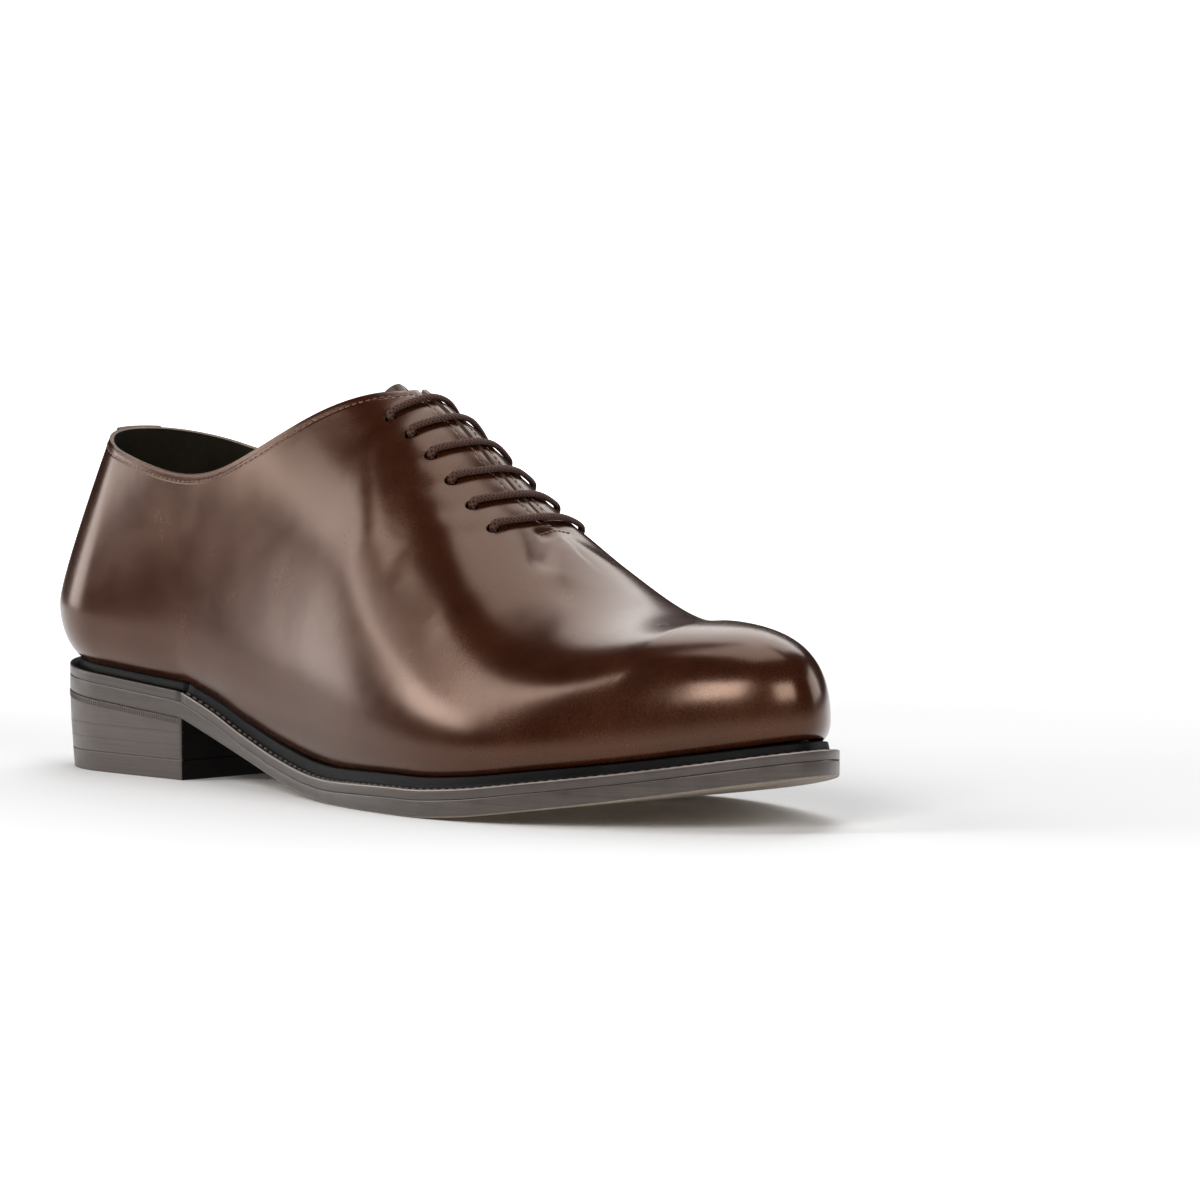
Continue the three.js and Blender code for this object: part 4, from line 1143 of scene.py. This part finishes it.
def tongue_point(i, j):
    share = tongue_shares[i]
    t = min(max((share - THROAT_BASE) / 0.03, 0), 1)
    foot = t * t * (3 - 2 * t)
    depth = WALL + UNDER_LACE * (1 - foot) + GAP * foot
    across = (j - 16) / 16
    side = OUTER if across < 0 else INNER
    p, normal = on_throat(side, share, max(abs(across) * tongue_width(share), 0.02))
    p = p - normal * depth
    p.z += tongue_lift(share)
    return p


tongue_bm = bmesh.new()
carried_grid(tongue_bm, len(tongue_shares) - 1, 32, tongue_point)
face_outwards(tongue_bm, metres((165, 0, 40)))
tongue = piece("tongue_calf", tongue_bm, [calf_tongue, lining, calf_tongue], ["tongue"])
solidify(tongue, TONGUE_THICKNESS)
round_edges(tongue, 0.5, 3)

# %% [markdown]
# The backstrap's columns fan out from the middle of the heel. Its lower edge curves up at both ends.

# %% Backstrap
BACKSTRAP_WIDTH, BACKSTRAP_HEIGHT, BACKSTRAP_THICKNESS, BACKSTRAP_OUT = 17, 15, 1.2, 0.0013


def backstrap_rows(across):
    station = heel_station(OUTER if across > 0 else INNER, 1 - abs(across) * BACKSTRAP_WIDTH / HEEL)
    top = top_level(station)
    low_z = station.skin(top).z - BACKSTRAP_HEIGHT * (1 - 0.35 * abs(across) ** 3)
    return station, level_where(lambda level: station.skin(level).z - low_z), top


backstrap_columns = [backstrap_rows(-1 + i / 16) for i in range(33)]


def backstrap_point(i, j):
    station, low_level, top = backstrap_columns[i]
    return station.skin(low_level + (top - low_level) * j / 24)


backstrap_bm = bmesh.new()
carried_grid(backstrap_bm, 32, 24, backstrap_point)
face_outwards(backstrap_bm, metres((40, 0, 80)))
for _v in backstrap_bm.verts:
    _v.co += _v.normal * BACKSTRAP_OUT
backstrap = piece("backstrap_calf", backstrap_bm, [calf_brown, calf_brown, cut_edge], ["backstrap"])
solidify(backstrap, BACKSTRAP_THICKNESS)
round_edges(backstrap, 0.3)

# %% [markdown]
# ## Lace
# A thin braid runs straight across each pair of eyelets and back up inside the facings, so six bars
# show and the rest is hidden. Where it lies on the leather it is pressed to a flat oval. A tube is
# another carried grid: its columns follow the path, and its rows go once round it.

# %% A braided tube along a path
def smooth_path(points, per_span):
    """A soft curve through the given points."""
    ends = [points[0] * 2 - points[1]] + points + [points[-1] * 2 - points[-2]]
    path = []
    for i in range(1, len(ends) - 2):
        a, b, c, d = ends[i - 1:i + 3]
        for step in range(per_span):
            t = step / per_span
            path.append(0.5 * ((2 * b) + (c - a) * t + (2 * a - 5 * b + 4 * c - d) * t * t
                               + (3 * b - a - 3 * c + d) * t ** 3))
    return path + [points[-1]]


TUBE_SIDES = 14


def tube(bm, path, side_way=None, oval=(1, 1)):
    """The cord along a path, round or pressed to an oval; gives back its length."""
    tangents = [(b - a).normalized() for a, b in zip(path[:-1], path[1:])]
    tangents.append(tangents[-1])
    lengths, last, radius = lengths_along(path), len(path) - 1, LACE / 2
    side_way = side_way or tangents[0].orthogonal().normalized()
    sides = []
    for tangent in tangents:
        side_way = (side_way - tangent * side_way.dot(tangent)).normalized()
        sides.append(side_way.copy())

    def point(i, j):
        angle = 2 * math.pi * (j % TUBE_SIDES) / TUBE_SIDES
        other = tangents[i].cross(sides[i])
        return path[i] + (sides[i] * math.cos(angle) * oval[0] + other * math.sin(angle) * oval[1]) * radius
    made = carried_grid(bm, last, TUBE_SIDES, point)
    lay_uv(bm, made, lambda u, v, loop: (lengths[round(u * last)], v))
    return lengths[-1]


# %% [markdown]
# Half a bar is a short list: it starts below the eyelet, comes up through it, and lies on the leather
# as far as the middle. The same list serves both sides and all six rows.

# %% Lace through the eyelets
OVAL = (1.28, 0.7)
OVER = LACE / 2 * OVAL[1] + 0.12
UNDER = WALL + LACE / 2 + GAP
lace_bm = bmesh.new()


# distance from the crest as a share of the eyelet's, height over the leather, sag towards the toe
HALF_BAR = [(1, -UNDER, 0), (1, -WALL / 2, 0), (0.985, OVER / 2, 0), (0.88, OVER + 0.15, 0.1),
            (0.45, OVER, 1), (0, OVER, 1.35)]


def lace_point(side, row, near, height, sag=0.0):
    share, inset = eyelet(row)
    point, way = on_throat(side, share + sag * LACE / LENGTH, max(inset * near, 0.02))
    return point + way * height


_cord = 0.0
for _row in range(TOP_ROW + 1):
    _halves = [[lace_point(side, _row, *place) for place in HALF_BAR] for side in (OUTER, INNER)]
    _share, _inset = eyelet(_row)
    _down = on_throat(OUTER, _share + 0.01, _inset)[0] - on_throat(OUTER, _share - 0.01, _inset)[0]
    _cord += tube(lace_bm, smooth_path(_halves[0] + _halves[1][-2::-1], 8), _down.normalized(), OVAL)
for _side, _from, _to, _lane in ((OUTER, 0, 1, 0), (INNER, 0, 2, 1), (INNER, 1, 3, -1), (OUTER, 2, 4, 1),
                                 (OUTER, 3, 5, -1), (INNER, 4, 5, 0)):
    _points = []
    for _step in range(7):
        _t = _step / 6
        _row = _from + (_to - _from) * _t
        _bow = math.sin(math.pi * _t) * _lane * LACE * 0.5
        _points.append(lace_point(_side, _row, 1 + _bow / eyelet(_row)[1], -UNDER))
    _cord += tube(lace_bm, smooth_path(_points, 4))
print("cord in the shoe:", round(_cord), "mm")
close_seams(lace_bm)
bmesh.ops.holes_fill(lace_bm, edges=[e for e in lace_bm.edges if e.is_boundary], sides=0)
bmesh.ops.recalc_face_normals(lace_bm, faces=lace_bm.faces)
piece("lace_braid", lace_bm, [lace_braid], ["lace"])

# %% [markdown]
# The edge of the leather is sewn all the way round the collar and down both facings. Each path is the
# cut edge itself, moved inwards and laid back on the skin. A short bar of thread closes the end of the
# throat, so that it can't tear.

# %% Rows round the collar, down the facings and across the end of the throat
# pitch, length, width and height of one stitch
EDGE_STITCH, BAR_STITCH, WELT_STITCH = (2.1, 1.7, 0.5, 0.36), (1.6, 1.5, 0.55, 0.5), (3.0, 2.5, 0.8, 0.7)
BAR_LENGTH, BAR_BEYOND, BAR_BEND = 11, 0.0125, 0.0009
thread_bm = bmesh.new()
_made = 0
for _side in (OUTER, INNER):
    _edge = even_path(edge_line[_side], 1.5)
    _edge = _edge[:-3]
    _moved = []
    for _i, _p in enumerate(_edge):
        _along = (_edge[min(_i + 2, len(_edge) - 1)] - _edge[max(_i - 2, 0)]).normalized()
        _hit = skin_tree.find_nearest(metres(_p))
        _in = _hit[1].cross(_along).normalized() * _side
        _moved.append(_p + _in * STITCH_INSET)
    _path, _ways = on_leather(_moved)
    _made += stitch_row(thread_bm, _path, _ways, *EDGE_STITCH)
_bar = []
for _i in range(9):
    _y = (_i / 8 - 0.5) * BAR_LENGTH
    _side = OUTER if _y < 0 else INNER
    _share = THROAT_BASE + BAR_BEYOND + BAR_BEND * abs(_y) / (BAR_LENGTH / 2)
    _bar.append(on_throat(_side, _share, max(abs(_y), 0.02))[0])
_path, _ways = on_leather(_bar)
_made += stitch_row(thread_bm, _path, _ways, *BAR_STITCH)
print(_made, "stitches on the upper")
piece("upper_stitches", thread_bm, [brown_thread], ())

# %% [markdown]
# The welt is sewn to the sole with a heavier, paler thread, which lies on the shelf beside the lip.

# %% Row along the welt
WELT_STITCH_INSET, WELT_STITCH_DROP = 1.75, 0.1
welt_bm = bmesh.new()
_points = []
for _s in welt_stations:
    _p = _s.plan(WELT_STITCH_INSET)
    _points.append(Vector((_p.x, _p.y, shelf(_p.x) - WELT_STITCH_DROP)))
_path = even_path(_points, 1.5)
_made = stitch_row(welt_bm, _path, [Vector((0, 0, 1))] * len(_path), *WELT_STITCH)
print(_made, "stitches on the welt")
piece("welt_stitches", welt_bm, [pale_thread], ())

# %% [markdown]
# ## Floor and light
# The shoe stands on a wide white floor. Close to it the floor is ordinary and takes the shadow. Further
# out the camera sees it glow, as a lit backdrop does, while the leather doesn't, so that the leather
# mirrors a dark room between the lamps. Those dark gaps draw the shape of polished calf. A faint glow of
# the near floor, which only the leather sees, gives the warm band below the widest line of the side.

# %% Floor
FLOOR_IN_LEATHER = 0.2
floor_bm = bmesh.new()
bmesh.ops.create_circle(floor_bm, cap_ends=True, segments=64, radius=40)
floor_mesh = bpy.data.meshes.new("floor")
floor_bm.to_mesh(floor_mesh)
floor_bm.free()
floor = bpy.data.objects.new("floor", floor_mesh)
bpy.context.scene.collection.objects.link(floor)
floor_white, _tree, _shader = material("floor white", 0.9, level=0.1)
_place = object_place(_tree)
_noise = add(_tree, "TexNoise", Vector=_place, Scale=3.0, Detail=2.0)
_tree.links.new(ramp(_tree, _noise.outputs[0], 0.3, 0.7, (0.88, 0.88, 0.88), (0.9, 0.9, 0.9)),
                _shader.inputs["Base Color"])
_away = add(_tree, "VectorMath", {"operation": "LENGTH"}, _0=_place).outputs["Value"]
_far = fade(_tree, _away, 0.25, 1.2)
_seen = _tree.nodes.new("ShaderNodeLightPath").outputs["Is Camera Ray"]
_glow = maths(_tree, "MULTIPLY", _far, _seen)
_mirrored = maths(_tree, "MULTIPLY_ADD", _seen, -FLOOR_IN_LEATHER, FLOOR_IN_LEATHER)
_tree.links.new(maths(_tree, "ADD", _glow, _mirrored), _shader.inputs["Emission Strength"])
_shader.inputs["Emission Color"].default_value = (1, 1, 1, 1)
floor_mesh.materials.append(floor_white)

# %% [markdown]
# A lamp is described by the part of the room that it fills as the shoe sees it: a range of angles round
# the shoe and a range of heights. Its brightness is compared with a white sheet, and the power follows
# from that and from its area.

# %% Lamps and surroundings
def round_the_shoe(azimuth, elevation, distance):
    """A place seen from the shoe, by angles as the camera's are given."""
    a, e = math.radians(azimuth), math.radians(elevation)
    return Vector((math.sin(a) * math.cos(e), -math.cos(a) * math.cos(e), math.sin(e))) * distance


LAMP_DISTANCE = 1.6


def lamp(name, around, heights, brightness):
    """A lamp that fills these angles round the shoe and these heights."""
    data = bpy.data.lights.new(name, "AREA")
    data.shape = "RECTANGLE"
    data.size = 2 * LAMP_DISTANCE * math.tan(math.radians(around[1] - around[0]) / 2)
    data.size_y = 2 * LAMP_DISTANCE * math.tan(math.radians(heights[1] - heights[0]) / 2)
    data.energy = math.pi * data.size * data.size_y * brightness
    made = bpy.data.objects.new(name, data)
    bpy.context.scene.collection.objects.link(made)
    aim = Vector((0, 0, 0.05))
    made.location = round_the_shoe(sum(around) / 2, sum(heights) / 2, LAMP_DISTANCE) + aim
    made.rotation_euler = (aim - made.location).to_track_quat("-Z", "Y").to_euler()
    print(name, round(data.energy, 1), "W")


lamp("front lamp", (20, 41), (19, 38), 9)
lamp("toe side lamp", (68, 94), (14, 33), 6)
lamp("low waist lamp", (-50, -29), (11, 23), 7)
lamp("high waist lamp", (-38, -26), (23, 50), 5)
lamp("low quarter lamp", (-82, -63), (0, 17), 3.3)
lamp("high quarter lamp", (-67, -51), (20, 35), 3.4)
lamp("back lamp", (-165, -123), (24, 66), 2.1)
lamp("far toe lamp", (145, 177), (4, 26), 2)
lamp("top lamp", (-16, 16), (80, 112), 2.2)
world = bpy.data.worlds.new("studio")
world.use_nodes = True
_tree = world.node_tree
_seen = _tree.nodes.new("ShaderNodeLightPath").outputs["Is Camera Ray"]
_tone = blend(_tree, "MIX", _seen, (0.025, 0.025, 0.025, 1), (1, 1, 1, 1))
_tree.links.new(_tone, _tree.nodes["Background"].inputs["Color"])
bpy.context.scene.world = world
bpy.context.scene.view_settings.view_transform = "Standard"
bpy.context.scene.view_settings.look = "Medium High Contrast"
